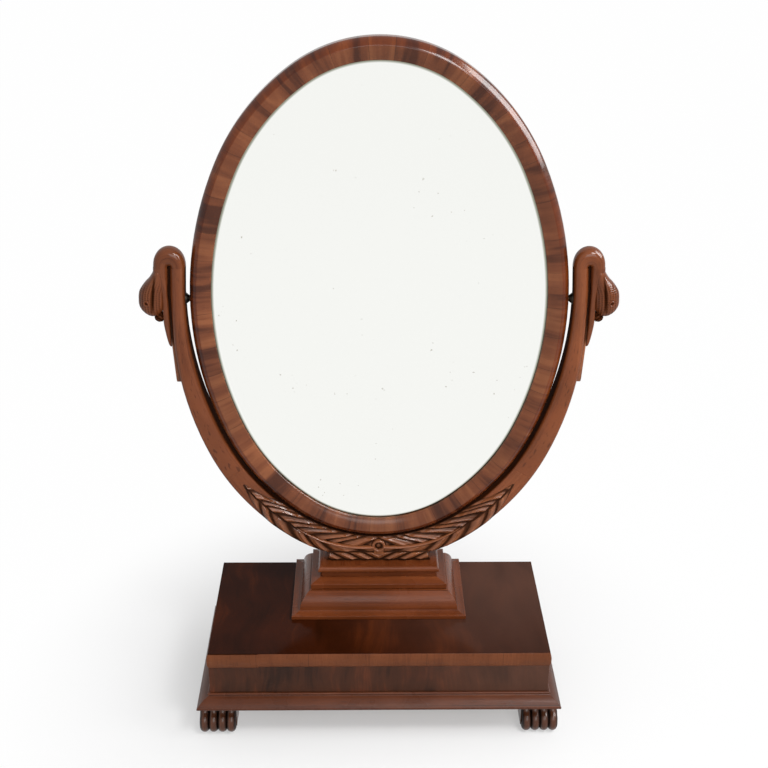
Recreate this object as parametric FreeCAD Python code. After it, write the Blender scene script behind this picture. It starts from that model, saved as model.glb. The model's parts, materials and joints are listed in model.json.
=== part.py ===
import FreeCAD, Part
import math
import os

# Dressing table mirror: an oval swing glass between swan-head arms, on a moulded
# plinth and a veneered box base with reeded scroll feet.
# Millimetres, X to the right, the front faces -Y, +Z up, origin on the floor under the middle.

V = FreeCAD.Vector
ACROSS = V(1, 0, 0)
BACKWARD = V(0, 1, 0)
UPWARD = V(0, 0, 1)

# Fits
glue_gap = 0.1          # round a dowel or screw in its hole
running_gap = 0.05      # round the pivot pin in its bush
glass_gap = 0.4         # round the glass in its rebate
same_level = 0.01       # levels closer than this are one

# Box base
base_width = 405.0      # over the rounded edges of the top board
base_depth = 193.0      # rounded front edge to flush back
top_thickness = 19.0
edge_depth = 9.0        # crossbanded lipping round the top board
edge_overhang = 1.5     # lipping past the frieze
edge_swell = 1.6        # rounding of the lipping
frieze_height = 53.0    # board height, foot to top board
frieze_board = 14.0
bottom_board_thickness = 10.0
corner_block_side = 16.0

# Base moulding, planted on the foot of the frieze
moulding_projection = 15.0
moulding_height = 13.0
moulding_nose = 4.0     # upright rounded edge at the foot of the moulding
nose_round = 1.0
moulding_swell = 0.9    # rise of its rounded slope
bead_radius = 1.4       # bead along the top of the moulding

# Feet
foot_height = 42.5
foot_width = 43.0
foot_corner_inset = 1.0     # side of the foot inside the end of the moulding
foot_front_inset = 5.3      # scroll behind the face of the moulding
foot_back_inset = 7.0       # block in from the flush back
foot_block = 30.0           # from the middle of the scroll to the back of the block
reed_count = 4
reed_radius = 5.6
scroll_radius = 8.2         # to the middle of a reed
scroll_turn = 60.0          # where the scroll runs into the hollow, degrees
hollow_turn = 21.0          # where the hollow meets the moulding, degrees past upright
trim_turn = 8.0             # reed left long there, before it is cut level
foot_flat = 0.5             # worn flat under the scroll
dowel_radius = 4.0
dowel_length = 28.0
foot_dowel_back = 16.0      # behind the middle of the scroll

# Stepped plinth
plinth_width = 212.0
plinth_depth = 125.5
plinth_fillet = 5.0         # upright edge at the foot
ogee_height = 22.9          # ogee above that edge
ogee_inset = 21.0
ledge_rise = 2.0            # hollow ledge on top of the upright edge
ledge_inset = 9.6
ledge_hollow = 0.5
step_rise = 11.5            # steep step above the ledge
step_inset = 3.2
step_swell = 0.7
slope_swell = 0.6           # rise of the slope above the step
tier_height = 7.5           # upright edge of the upper moulding
tier_inset = 2.1            # set back from the top of the ogee
shelf_rise = 3.6            # sloping top of the upper moulding
shelf_inset = 11.0
neck_height = 7.0           # recess under the cap
neck_inset = 2.0
cap_thickness = 8.0
cap_overhang = 4.0          # cap past the recess
cap_round = 4.5
cap_under_round = 2.5
screw_radius = 2.2
screw_head_radius = 4.5
screw_head_height = 3.0
plinth_screw_length = 40.0
plinth_screw_spacing_x = 96.0
plinth_screw_spacing_y = 26.0

# Oval frame, struck with three radii to each quarter
frame_half_width = 213.0
frame_half_height = 296.5
crown_turn = 36.0       # end of the crown arc, degrees from the top
side_turn = 66.0        # start of the side arc
frame_width = 24.0
crest_forward = 14.0    # crest of the cushion ahead of the pivot
crest_inset = 8.0       # crest in from the outer edge
shoulder_forward = 5.0  # where the side turns into the cushion
shoulder_swell = 2.5    # rise of the round from the side to the crest
face_swell = 0.6        # rise of the face from the crest to the arris
sight_forward = 7.5     # arris beside the glass, ahead of the pivot
arris_width = 1.5
lip_thickness = 2.5     # wood in front of the glass
rebate_width = 7.0
frame_back = 11.0       # back of the frame behind the pivot
rest_lean = 1.5         # the glass leans back this many degrees
glass_thickness = 4.0
backboard_thickness = 6.0
backboard_inset = 6.0   # from the outer edge of the frame
back_screw_count = 10
back_screw_inset = 5.5  # in from the edge of the backboard
back_screw_depth = 9.0
back_screw_radius = 1.5
back_head_radius = 3.0
back_head_height = 1.2
wedge_count = 8
wedge_length = 16.0
wedge_width = 4.0

# Pivots
pivot_above_centre = 7.8
pin_radius = 3.0
pin_in_bush = 12.0
pin_in_arm = 10.0
bush_radius = 5.0
bush_length = 14.0
boss_arm_radius = 6.5
boss_frame_radius = 3.6
boss_gap = 0.4          # between the boss and the bush

# Yoke
swing_gap = 4.8         # between the oval frame and the yoke
throat = 32.0           # yoke under the oval
yoke_drop = 24.0        # middle of the yoke's outer curve below the middle of the oval
arm_width = 16.6        # arm beside the pivot
neck_bend = 8.0         # above the pivot the neck leans inwards
neck_lean = 2.1         # as far as this under the curl
yoke_half_thickness = 14.0
neck_half_thickness = 11.5
yoke_foot_half_width = 61.0
yoke_foot_taper = 4.0   # sloping ends of the foot block
yoke_foot_height = 14.0
arm_joint_turn = 124.0  # joint between the yoke and its arms, degrees from the top
arm_dowel_spacing = 12.0
arm_dowel_radius = 3.5
yoke_dowel_spacing = 50.0
cap_dowel_depth = 6.5

# Swan heads: the slip parts the neck from the head that hangs outside it
slip_width = 2.6
slip_clearance = 0.4        # between the slip and the hanging head
slip_half_thickness = 6.0
slip_tail_drop = 102.0      # tail of the slip below the pivot
slip_tail_inset = 3.8       # outer edge of the slip slants in to the end of its tail
slot_above_pivot = 43.2     # middle of the curl
curl_round = 5.0
skull_reach = 33.6          # from the slip to the outside of the skull
skull_half_thickness = 16.0
skull_length = 64.5         # curl to the underside of the skull
beak_root_drop = 46.5       # root of the beak below the curl
beak_tip_drop = 102.5       # tip below the curl
beak_relief = 1.2           # beak clear of the skull's inner side
beak_root = 12.0            # beak across where it leaves the skull
beak_root_half_thickness = 9.0
beak_middle = 7.2
beak_middle_half_thickness = 5.0
beak_tip = 3.0
knob_radius = 5.0
knob_drop = 66.8            # knob below the curl
head_dowel_radius = 3.0
head_dowel_in_neck = 14.0
head_dowel_in_curl = 10.0

# Carving on the yoke
leaf_relief = 6.0
lobe_relief = 4.8
leaf_angle = 34.0           # slant of a leaf from the midrib, degrees
leaf_length = 20.0          # longest leaf
leaf_tip_share = 0.6        # length of the last leaf in a spray
leaf_width = 8.0
leaf_belly_share = 0.45     # fullest part of a leaf along its length
leaf_count = 9              # leaves along each side of a midrib
midrib_width = 3.2
spray_start_turn = 176.0    # beside the ring, degrees from the top
spray_end_turn = 136.0
fan_leaf_count = 4
fan_leaf_length = 20.0
fan_leaf_width = 6.0
fan_rise = 9.0              # root of a leaf above the cap
fan_relief = 3.6
fan_angle = 9.0             # leaf below level, degrees
ring_radius = 6.6
ring_hole_radius = 3.4
ring_hole_depth = 4.0
ring_above_cap = 23.0
strap_half_width = 6.0
strap_height = 5.0
strap_relief = 4.2
strap_overlap = 1.0         # strap up under the ring

# Sections of the skull from the curl to the chin: share of its length, of its swell past
# the neck sideways, and of its swell in thickness
skull_sections = ((-0.05, -0.09, -0.25), (0.19, 0.10, 0.20), (0.37, 0.59, 0.70), (0.52, 0.91, 0.95),
                  (0.74, 1.0, 1.0), (0.89, 0.79, 0.60), (0.97, 0.35, 0.0), (1.0, -0.10, -0.60))

# Levels and planes that follow from the sizes above
frieze_top = foot_height + frieze_height
base_top_level = frieze_top + top_thickness
frieze_width = base_width - 2 * edge_overhang
frieze_depth = base_depth - edge_overhang
overall_depth = frieze_depth + moulding_projection
back_plane = overall_depth / 2
frieze_front = back_plane - frieze_depth
moulding_front = frieze_front - moulding_projection
moulding_half_width = frieze_width / 2 + moulding_projection
ogee_top = base_top_level + plinth_fillet + ogee_height
tier_top = ogee_top + tier_height
shelf_top = tier_top + shelf_rise
cap_bottom = shelf_top + neck_height
cap_top = cap_bottom + cap_thickness
scroll_level = scroll_radius + reed_radius - foot_flat
scroll_sine, scroll_cosine = math.sin(math.radians(scroll_turn)), math.cos(math.radians(scroll_turn))
hollow_rise = foot_height - scroll_level - scroll_radius * scroll_sine
cove_radius = hollow_rise / (scroll_sine + math.sin(math.radians(hollow_turn)))
cove_reach = scroll_radius + cove_radius
core_inset = ogee_inset + tier_inset + shelf_inset + neck_inset
plinth_y = back_plane - plinth_depth / 2
pivot_y = plinth_y
oval_z = cap_top + throat + swing_gap + frame_half_height
pivot_z = oval_z + pivot_above_centre
yoke_z = oval_z - yoke_drop
bend_z = pivot_z + neck_bend
arm_inner = frame_half_width + swing_gap
arm_outer = arm_inner + arm_width
slip_outer = arm_outer + slip_width
slot_x = arm_outer - neck_lean + slip_width / 2
slot_z = pivot_z + slot_above_pivot
yoke_front = pivot_y - yoke_half_thickness
glass_front = pivot_y - sight_forward + lip_thickness
pivot = V(0, pivot_y, pivot_z)

parts = {}


def box(low, high):
    """Upright block between two corners."""
    size = high.sub(low)
    return Part.makeBox(size.x, size.y, size.z, low)


def face_of(points):
    """Flat face in a closed outline; a point in brackets is the middle of an arc."""
    edges = []
    outline = list(points) + [points[0]]
    start = outline[0]
    middle = None
    for point in outline[1:]:
        if isinstance(point, tuple):
            middle = point[0]
            continue
        if middle is None:
            edges.append(Part.makeLine(start, point))
        else:
            edges.append(Part.Arc(start, middle, point).toShape())
        start = point
        middle = None
    return Part.Face(Part.Wire(edges))


def solid_of(points, direction):
    """Prism from a closed outline."""
    return face_of(points).extrude(direction)


def bowed(start, end, rise):
    """Middle of an arc between two points of a profile, to the left of the way."""
    run, climb = end[0] - start[0], end[1] - start[1]
    share = rise / math.hypot(run, climb)
    return (start[0] + end[0]) / 2 - climb * share, (start[1] + end[1]) / 2 + run * share


def on_both_sides(name, shape):
    """The piece made on the right, and its mirror image on the left."""
    parts[name + "_right"] = shape
    parts[name + "_left"] = shape.mirror(V(0, 0, 0), ACROSS)


def peg(radius, length, start, direction):
    """Round peg, pin or hole."""
    return Part.makeCylinder(radius, length, start, direction)


def drill(name, holes):
    """Cut the holes into a piece that is already made."""
    parts[name] = parts[name].cut(Part.makeCompound(holes))


# Box base
def run_plan(half_width, front, back, width, side):
    """Plan of one run of a mitred border, on the front, left, right or back."""
    inner = half_width - width
    if side == "front":
        return [V(-half_width, front, 0), V(half_width, front, 0),
                V(inner, front + width, 0), V(-inner, front + width, 0)]
    if side == "back":
        return [V(-half_width, back, 0), V(-inner, back - width, 0),
                V(inner, back - width, 0), V(half_width, back, 0)]
    sign = 1 if side == "right" else -1
    return [V(sign * half_width, front, 0), V(sign * half_width, back, 0),
            V(sign * inner, back, 0), V(sign * inner, front + width, 0)]


def lay_run(profile, half_width, front, back, width, side, mitred_back=False):
    """Straight moulding of a profile on one side, cut to its mitres.

    The profile gives inset from the edge and level, as (inset, z) pairs, arcs in brackets."""
    def place(point):
        inset, level = point
        if side == "front":
            return V(-half_width, front + inset, level)
        if side == "back":
            return V(-half_width, back - inset, level)
        sign = 1 if side == "right" else -1
        return V(sign * (half_width - inset), front, level)

    outline = [(place(p[0]),) if len(p) == 1 else place(p) for p in profile]
    length = 2 * half_width if side in ("front", "back") else back - front
    direction = ACROSS if side in ("front", "back") else BACKWARD
    run = solid_of(outline, direction * length)
    plan = run_plan(half_width, front, back, width, side)
    if mitred_back and side in ("left", "right"):
        plan[2] = V(plan[2].x, back - width, 0)
    return run.common(solid_of(plan, V(0, 0, cap_top)))


def make_base():
    """Top board with its lipping, frieze, bottom board and glue blocks."""
    half = base_width / 2
    front = back_plane - base_depth
    parts["base_top"] = box(V(-half + edge_depth, front + edge_depth, frieze_top),
                            V(half - edge_depth, back_plane, base_top_level))
    lipping = [(edge_depth, frieze_top), (edge_swell, frieze_top),
               ((0.0, frieze_top + top_thickness / 2),),
               (edge_swell, base_top_level), (edge_depth, base_top_level)]
    for side in ("front", "left", "right"):
        parts["top_edge_" + side] = lay_run(lipping, half, front, back_plane, edge_depth, side)

    frieze_half = frieze_width / 2
    inner_half = frieze_half - frieze_board
    inner_front = frieze_front + frieze_board
    inner_back = back_plane - frieze_board
    parts["frieze_front"] = box(V(-frieze_half, frieze_front, foot_height),
                                V(frieze_half, inner_front, frieze_top))
    parts["frieze_back"] = box(V(-frieze_half, inner_back, foot_height),
                               V(frieze_half, back_plane, frieze_top))
    on_both_sides("frieze", box(V(inner_half, inner_front, foot_height),
                                V(frieze_half, inner_back, frieze_top)))
    board_top = foot_height + bottom_board_thickness
    parts["bottom_board"] = box(V(-inner_half, inner_front, foot_height),
                                V(inner_half, inner_back, board_top))
    blocks = []
    for sign in (-1, 1):
        for y in (inner_front, inner_back - corner_block_side):
            x = inner_half - corner_block_side if sign > 0 else -inner_half
            blocks.append(box(V(x, y, board_top),
                              V(x + corner_block_side, y + corner_block_side, frieze_top)))
    parts["corner_blocks"] = Part.makeCompound(blocks)


def make_base_moulding():
    """Moulding with its bead, on the front and the ends."""
    top = foot_height + moulding_height
    slope_end = moulding_projection - 2 * bead_radius
    nose = (nose_round, foot_height + moulding_nose)
    slope = (slope_end, top - bead_radius)
    profile = [(moulding_projection, foot_height), (nose_round, foot_height),
               ((0.0, foot_height + moulding_nose / 2),), nose,
               (bowed(nose, slope, moulding_swell),), slope, (moulding_projection - bead_radius, top),
               ((slope_end, top + bead_radius),),
               (moulding_projection - bead_radius, top + 2 * bead_radius),
               (moulding_projection, top + 2 * bead_radius)]
    for side in ("front", "left", "right"):
        parts["base_moulding_" + side] = lay_run(
            profile, moulding_half_width, moulding_front, back_plane, moulding_projection, side)


def round_face(radius, centre, direction):
    """Disc square to a direction."""
    return Part.Face(Part.Wire(Part.makeCircle(radius, centre, direction)))


def reed(x, centre_y):
    """One reed: round the scroll, then up the hollow to the moulding."""
    centre = V(x, centre_y, scroll_level)
    hollow_centre = centre + V(0, -cove_reach * scroll_cosine, cove_reach * scroll_sine)
    section = round_face(reed_radius, centre - V(0, 0, scroll_radius), BACKWARD)
    scroll = section.revolve(centre, ACROSS, -(90.0 + scroll_turn))
    end = centre + V(0, -scroll_radius * scroll_cosine, scroll_radius * scroll_sine)
    section = round_face(reed_radius, end, V(0, scroll_sine, scroll_cosine))
    hollow = section.revolve(hollow_centre, ACROSS, scroll_turn + hollow_turn + trim_turn)
    return scroll.fuse(hollow)


def make_foot(x, centre_y):
    """Reeded scroll foot with its block; x is its middle."""
    low_x = x - foot_width / 2
    neck_y = centre_y - cove_reach * scroll_cosine + cove_radius
    foot = box(V(low_x, neck_y, 0), V(low_x + foot_width, centre_y + foot_block, foot_height))
    foot = foot.fuse(peg(scroll_radius, foot_width, V(low_x, centre_y, scroll_level), ACROSS))
    pitch = (foot_width - 2 * reed_radius) / (reed_count - 1)
    reeds = [reed(low_x + reed_radius + index * pitch, centre_y) for index in range(reed_count)]
    foot = foot.fuse(reeds)
    room = box(V(low_x, moulding_front, 0), V(low_x + foot_width, back_plane, foot_height))
    return foot.common(room).removeSplitter()


def make_feet():
    """Four feet, each on a dowel into the bottom board."""
    x = moulding_half_width - foot_corner_inset - foot_width / 2
    scroll_front = moulding_front + foot_front_inset + scroll_radius + reed_radius
    scroll_back = back_plane - foot_back_inset - foot_block
    dowel_x = (x - foot_width / 2 + frieze_width / 2 - frieze_board) / 2
    board_top = foot_height + bottom_board_thickness
    low = board_top - dowel_length
    dowels = []
    for name, y in (("foot_front", scroll_front), ("foot_back", scroll_back)):
        on_both_sides(name, make_foot(x, y))
        for sign, side in ((1, "_right"), (-1, "_left")):
            seat = V(sign * dowel_x, y + foot_dowel_back, low)
            dowels.append(peg(dowel_radius, dowel_length, seat, UPWARD))
            hole = peg(dowel_radius + glue_gap, dowel_length, seat, UPWARD)
            drill(name + side, [hole])
            drill("bottom_board", [hole])
    parts["foot_dowels"] = Part.makeCompound(dowels)


# Plinth
def edges_at(shape, level):
    """Edges of a shape that lie level."""
    return [e for e in shape.Edges if abs(e.CenterOfMass.z - level) < same_level]


def make_plinth():
    """Core with two tiers of mitred mouldings, the cap and the screws from below."""
    half = plinth_width / 2
    front = plinth_y - plinth_depth / 2
    foot_top = base_top_level + plinth_fillet
    lower_width = core_inset
    edge_top = (0.0, foot_top)
    ledge_top = (ledge_inset, foot_top + ledge_rise)
    step_top = (ledge_inset + step_inset, foot_top + ledge_rise + step_rise)
    slope_top = (ogee_inset, ogee_top)
    lower = [(lower_width, base_top_level), (0.0, base_top_level), edge_top,
             (bowed(edge_top, ledge_top, -ledge_hollow),), ledge_top,
             (bowed(ledge_top, step_top, step_swell),), step_top,
             (bowed(step_top, slope_top, slope_swell),), slope_top, (lower_width, ogee_top)]
    tier = ogee_inset + tier_inset
    upper_width = core_inset - tier
    upper = [(upper_width, ogee_top), (0.0, ogee_top), (0.0, tier_top),
             (shelf_inset, shelf_top), (upper_width, shelf_top)]
    for side in ("front", "back", "left", "right"):
        parts["plinth_lower_" + side] = lay_run(
            lower, half, front, back_plane, lower_width, side, mitred_back=True)
        parts["plinth_upper_" + side] = lay_run(
            upper, half - tier, front + tier, back_plane - tier, upper_width, side, mitred_back=True)
    parts["plinth_core"] = box(V(-half + core_inset, front + core_inset, base_top_level),
                               V(half - core_inset, back_plane - core_inset, cap_bottom))
    cap_inset = core_inset - cap_overhang
    cap = box(V(-half + cap_inset, front + cap_inset, cap_bottom),
              V(half - cap_inset, back_plane - cap_inset, cap_top))
    cap = cap.makeFillet(cap_round, edges_at(cap, cap_top))
    parts["plinth_cap"] = cap.makeFillet(cap_under_round, edges_at(cap, cap_bottom))

    screws = []
    for x in (-plinth_screw_spacing_x / 2, plinth_screw_spacing_x / 2):
        for dy in (-plinth_screw_spacing_y / 2, plinth_screw_spacing_y / 2):
            seat = V(x, plinth_y + dy, frieze_top)
            shank = peg(screw_radius, plinth_screw_length, seat, UPWARD)
            head = peg(screw_head_radius, screw_head_height,
                       seat.sub(V(0, 0, screw_head_height)), UPWARD)
            screws.append(shank.fuse(head))
            hole = peg(screw_radius + glue_gap, plinth_screw_length + glue_gap, seat, UPWARD)
            drill("base_top", [hole])
            drill("plinth_core", [hole])
    parts["plinth_screws"] = Part.makeCompound(screws)


# Ovals struck with compasses
class Oval:
    """Closed oval of eight arcs about the oval centre; turns run clockwise from the top."""

    names = ("top", "upper_right", "side_right", "lower_right",
             "bottom", "lower_left", "side_left", "upper_left")

    def __init__(self, half_width, half_height, centre_z):
        self.centre_z = centre_z
        first = math.radians(crown_turn)
        second = math.radians(side_turn)
        middle = (first + second) / 2
        support = math.hypot(half_width * math.sin(middle), half_height * math.cos(middle))
        shoulder = (half_width * half_height) ** 2 / support ** 3
        sine1, cosine1 = math.sin(first), math.cos(first)
        sine2, cosine2 = math.sin(second), math.cos(second)
        across = half_width - shoulder * (sine2 - sine1)
        upright = half_height - shoulder * (cosine1 - cosine2)
        scale = sine1 * cosine2 - (1 - sine2) * (1 - cosine1)
        crown = (across * cosine2 - upright * (1 - sine2)) / scale
        side = (upright * sine1 - across * (1 - cosine1)) / scale
        crown_z = half_height - crown
        shoulder_x = (crown - shoulder) * sine1
        shoulder_z = crown_z + (crown - shoulder) * cosine1
        side_x = half_width - side
        a, b = crown_turn, side_turn
        self.arcs = [(0, crown_z, crown, -a, a),
                     (shoulder_x, shoulder_z, shoulder, a, b),
                     (side_x, 0, side, b, 180 - b),
                     (shoulder_x, -shoulder_z, shoulder, 180 - b, 180 - a),
                     (0, -crown_z, crown, 180 - a, 180 + a),
                     (-shoulder_x, -shoulder_z, shoulder, 180 + a, 180 + b),
                     (-side_x, 0, side, 180 + b, 360 - b),
                     (-shoulder_x, shoulder_z, shoulder, 360 - b, 360 - a)]

    def point(self, turn, grow=0.0, y=0.0):
        """Point on the oval where its face looks along a turn, grown outwards."""
        for x, z, radius, low, high in self.arcs:
            for spare in (0, 360):
                if low <= turn - spare <= high:
                    angle = math.radians(turn)
                    reach = radius + grow
                    return V(x + reach * math.sin(angle), y,
                             self.centre_z + z + reach * math.cos(angle))
        return self.point(turn % 360, grow, y)

    def wire(self, grow, y):
        """Closed wire of the oval, grown outwards, at one depth."""
        edges = []
        for x, z, radius, low, high in self.arcs:
            ends = []
            for turn in (low, (low + high) / 2, high):
                angle = math.radians(turn)
                ends.append(V(x + (radius + grow) * math.sin(angle), y,
                              self.centre_z + z + (radius + grow) * math.cos(angle)))
            edges.append(Part.Arc(*ends).toShape())
        return Part.Wire(edges)

    def plate(self, grow, y, thickness):
        """Flat plate of the oval."""
        return Part.Face(self.wire(grow, y)).extrude(V(0, thickness, 0))


frame_oval = Oval(frame_half_width, frame_half_height, oval_z)
yoke_oval = Oval(arm_outer, yoke_z - cap_top, yoke_z)


def outward(turn):
    """Direction square to the oval at a turn."""
    angle = math.radians(turn)
    return V(math.sin(angle), 0, math.cos(angle))


def onward(turn):
    """Direction along the oval at a turn, clockwise."""
    angle = math.radians(turn)
    return V(math.cos(angle), 0, -math.sin(angle))


def leaning(shape):
    """The piece of the swing glass, leaning as it stands."""
    turned = shape.copy()
    turned.rotate(pivot, ACROSS, -rest_lean)
    return turned


# Oval frame and glass
def frame_section(centre_x, centre_z, radius, turn):
    """Section of the cushion frame with its rebate, square to the oval."""
    away = outward(turn)

    def at(point):
        inset, forward = point
        reach = radius - inset
        return V(centre_x + away.x * reach, pivot_y - forward, oval_z + centre_z + away.z * reach)

    rebate_inset = frame_width - rebate_width
    lip_back = sight_forward - lip_thickness
    shoulder = (0.0, shoulder_forward)
    crest = (crest_inset, crest_forward)
    arris = (frame_width - arris_width, sight_forward + arris_width)
    return face_of([at((0.0, -frame_back)), at(shoulder), (at(bowed(shoulder, crest, shoulder_swell)),),
                    at(crest), (at(bowed(crest, arris, face_swell)),), at(arris),
                    at((frame_width, sight_forward)), at((frame_width, lip_back)),
                    at((rebate_inset, lip_back)), at((rebate_inset, -frame_back))])


def make_frame():
    """Eight runs of the frame, the glass with its wedges, the backboard with its screws."""
    for name, (x, z, radius, low, high) in zip(Oval.names, frame_oval.arcs):
        section = frame_section(x, z, radius, low)
        parts["frame_" + name] = section.revolve(V(x, 0, oval_z + z), BACKWARD, high - low)
    glass_inset = frame_width - rebate_width + glass_gap
    parts["mirror_glass"] = frame_oval.plate(-glass_inset, glass_front, glass_thickness)
    back_y = pivot_y + frame_back
    parts["backboard"] = frame_oval.plate(-backboard_inset, back_y, backboard_thickness)

    wedges = []
    wedge_front = glass_front + glass_thickness
    wedge_inset = frame_width - rebate_width + glass_gap + wedge_width / 2
    for index in range(wedge_count):
        turn = (index + 0.5) * 360 / wedge_count
        wedge = Part.makeBox(wedge_length, back_y - wedge_front, wedge_width,
                             V(-wedge_length / 2, wedge_front, -wedge_width / 2))
        wedge.rotate(V(0, 0, 0), BACKWARD, turn)
        wedge.translate(frame_oval.point(turn, -wedge_inset))
        wedges.append(wedge)
    parts["glass_wedges"] = Part.makeCompound(wedges)

    screws = []
    for index in range(back_screw_count):
        turn = (index + 0.5) * 360 / back_screw_count
        seat = frame_oval.point(turn, -backboard_inset - back_screw_inset, back_y + backboard_thickness)
        shank = peg(back_screw_radius, backboard_thickness + back_screw_depth, seat, -BACKWARD)
        head = peg(back_head_radius, back_head_height, seat, BACKWARD)
        screws.append(shank.fuse(head))
        hole = peg(back_screw_radius + glue_gap, backboard_thickness + back_screw_depth + glue_gap,
                   seat, -BACKWARD)
        drill("backboard", [hole])
        for name in Oval.names:
            drill("frame_" + name, [hole])
    parts["backboard_screws"] = Part.makeCompound(screws)


def make_pivots():
    """Pins with conical bosses in the arms, turning in bushes in the frame."""
    face = frame_half_width
    bush_inner = face - bush_length
    hole = peg(bush_radius + glue_gap, bush_length + glue_gap,
               V(bush_inner - glue_gap, pivot_y, pivot_z), ACROSS)
    parts["frame_side_right"] = parts["frame_side_right"].cut(hole)
    parts["frame_side_left"] = parts["frame_side_left"].cut(hole.mirror(V(0, 0, 0), ACROSS))
    bush = peg(bush_radius, bush_length, V(bush_inner, pivot_y, pivot_z), ACROSS)
    bore = peg(pin_radius + running_gap, bush_length, V(bush_inner, pivot_y, pivot_z), ACROSS)
    on_both_sides("pivot_bush", bush.cut(bore))

    pin = peg(pin_radius, pin_in_bush + swing_gap + pin_in_arm,
              V(face - pin_in_bush, pivot_y, pivot_z), ACROSS)
    boss = Part.makeCone(boss_frame_radius, boss_arm_radius, swing_gap - boss_gap,
                         V(face + boss_gap, pivot_y, pivot_z), ACROSS)
    on_both_sides("pivot_pin", pin.fuse(boss))


# Yoke and swan-head arms
def beyond_joint(turn):
    """Room above the right-hand arm joint."""
    reach = 2 * yoke_oval.arcs[2][2]
    x, z = frame_oval.arcs[3][0], frame_oval.arcs[3][1]
    room = box(V(-reach, -reach, -reach), V(0, reach, reach))
    room.rotate(V(0, 0, 0), BACKWARD, turn)
    room.translate(V(x, 0, oval_z + z))
    return room.common(box(V(0, -reach, 0), V(reach, reach, oval_z)))


def make_yoke():
    """Crescent with its foot block and the two arms, dowelled together."""
    thickness = 2 * yoke_half_thickness
    ring = yoke_oval.plate(0, yoke_front, thickness)
    ring = ring.cut(frame_oval.plate(swing_gap, yoke_front, thickness))
    crescent = ring.common(box(V(-arm_outer, yoke_front, cap_top),
                               V(arm_outer, yoke_front + thickness, oval_z)))
    room = beyond_joint(arm_joint_turn)
    arm = crescent.common(room)
    neck = solid_of([V(arm_inner, yoke_front, yoke_z), V(arm_outer, yoke_front, yoke_z),
                     V(arm_outer, yoke_front, bend_z), V(arm_outer - neck_lean, yoke_front, slot_z),
                     V(arm_inner - neck_lean, yoke_front, slot_z), V(arm_inner, yoke_front, bend_z)],
                    V(0, thickness, 0))
    taper_start = frame_oval.point(arm_joint_turn, swing_gap).z
    low, high = yoke_half_thickness, neck_half_thickness
    side = [V(0, pivot_y - low, cap_top), V(0, pivot_y + low, cap_top),
            V(0, pivot_y + low, taper_start), V(0, pivot_y + high, slot_z),
            V(0, pivot_y - high, slot_z), V(0, pivot_y - low, taper_start)]
    arm = arm.fuse(neck).removeSplitter().common(solid_of(side, V(arm_outer, 0, 0)))
    pin_hole = peg(pin_radius + glue_gap, pin_in_arm + glue_gap,
                   V(arm_inner, pivot_y, pivot_z), ACROSS)
    on_both_sides("yoke_arm", arm.cut(pin_hole))

    foot_half = yoke_foot_half_width
    foot_outline = [V(-foot_half, yoke_front, cap_top), V(foot_half, yoke_front, cap_top),
                    V(foot_half - yoke_foot_taper, yoke_front, cap_top + yoke_foot_height),
                    V(-foot_half + yoke_foot_taper, yoke_front, cap_top + yoke_foot_height)]
    foot = solid_of(foot_outline, V(0, thickness, 0))
    foot = foot.cut(frame_oval.plate(swing_gap, yoke_front, thickness))
    middle = crescent.cut([room, room.mirror(V(0, 0, 0), ACROSS)])
    parts["yoke_middle"] = middle.fuse(foot).removeSplitter()

    dowels = []
    for x in (-yoke_dowel_spacing / 2, yoke_dowel_spacing / 2):
        seat = V(x, pivot_y, cap_top - cap_dowel_depth)
        dowels.append(peg(dowel_radius, 2 * cap_dowel_depth, seat, UPWARD))
        hole = peg(dowel_radius + glue_gap, 2 * cap_dowel_depth, seat, UPWARD)
        drill("yoke_middle", [hole])
        drill("plinth_cap", [hole])
    parts["yoke_dowels"] = Part.makeCompound(dowels)

    joint = (frame_oval.point(arm_joint_turn, swing_gap) + yoke_oval.point(arm_joint_turn)) / 2
    along = onward(arm_joint_turn)
    arm_dowels = []
    for dy in (-arm_dowel_spacing / 2, arm_dowel_spacing / 2):
        seat = joint - along * (dowel_length / 2) + V(0, pivot_y + dy, 0)
        dowel = peg(arm_dowel_radius, dowel_length, seat, along)
        hole = peg(arm_dowel_radius + glue_gap, dowel_length, seat, along)
        for shape, drilled, side_name in ((dowel, hole, "right"),
                                          (dowel.mirror(V(0, 0, 0), ACROSS),
                                           hole.mirror(V(0, 0, 0), ACROSS), "left")):
            arm_dowels.append(shape)
            drill("yoke_arm_" + side_name, [drilled])
            drill("yoke_middle", [drilled])
    parts["arm_dowels"] = Part.makeCompound(arm_dowels)


def make_slips():
    """Thin slip along the outside of the arm, between the neck and the head."""
    front = pivot_y - slip_half_thickness
    thickness = 2 * slip_half_thickness
    tail_z = pivot_z - slip_tail_drop
    tail = solid_of([V(arm_inner, front, yoke_z), V(slip_outer, front, yoke_z),
                     V(slip_outer - slip_tail_inset, front, tail_z), V(arm_inner, front, tail_z)],
                    V(0, thickness, 0))
    tail = tail.cut(yoke_oval.plate(0, front, thickness))
    upright = solid_of([V(arm_outer, front, yoke_z), V(slip_outer, front, yoke_z),
                        V(slip_outer, front, bend_z), V(slip_outer - neck_lean, front, slot_z),
                        V(arm_outer - neck_lean, front, slot_z), V(arm_outer, front, bend_z)],
                       V(0, thickness, 0))
    on_both_sides("head_slip", tail.fuse(upright).removeSplitter())


def ellipse_section(x_low, x_high, half_thickness, z):
    """Level oval section of the head."""
    half = (x_high - x_low) / 2
    middle = V((x_low + x_high) / 2, pivot_y, z)
    ring = Part.Ellipse(middle, max(half, half_thickness), min(half, half_thickness))
    wire = Part.Wire(ring.toShape())
    if half < half_thickness:
        wire.rotate(middle, UPWARD, 90)
    return wire


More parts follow.
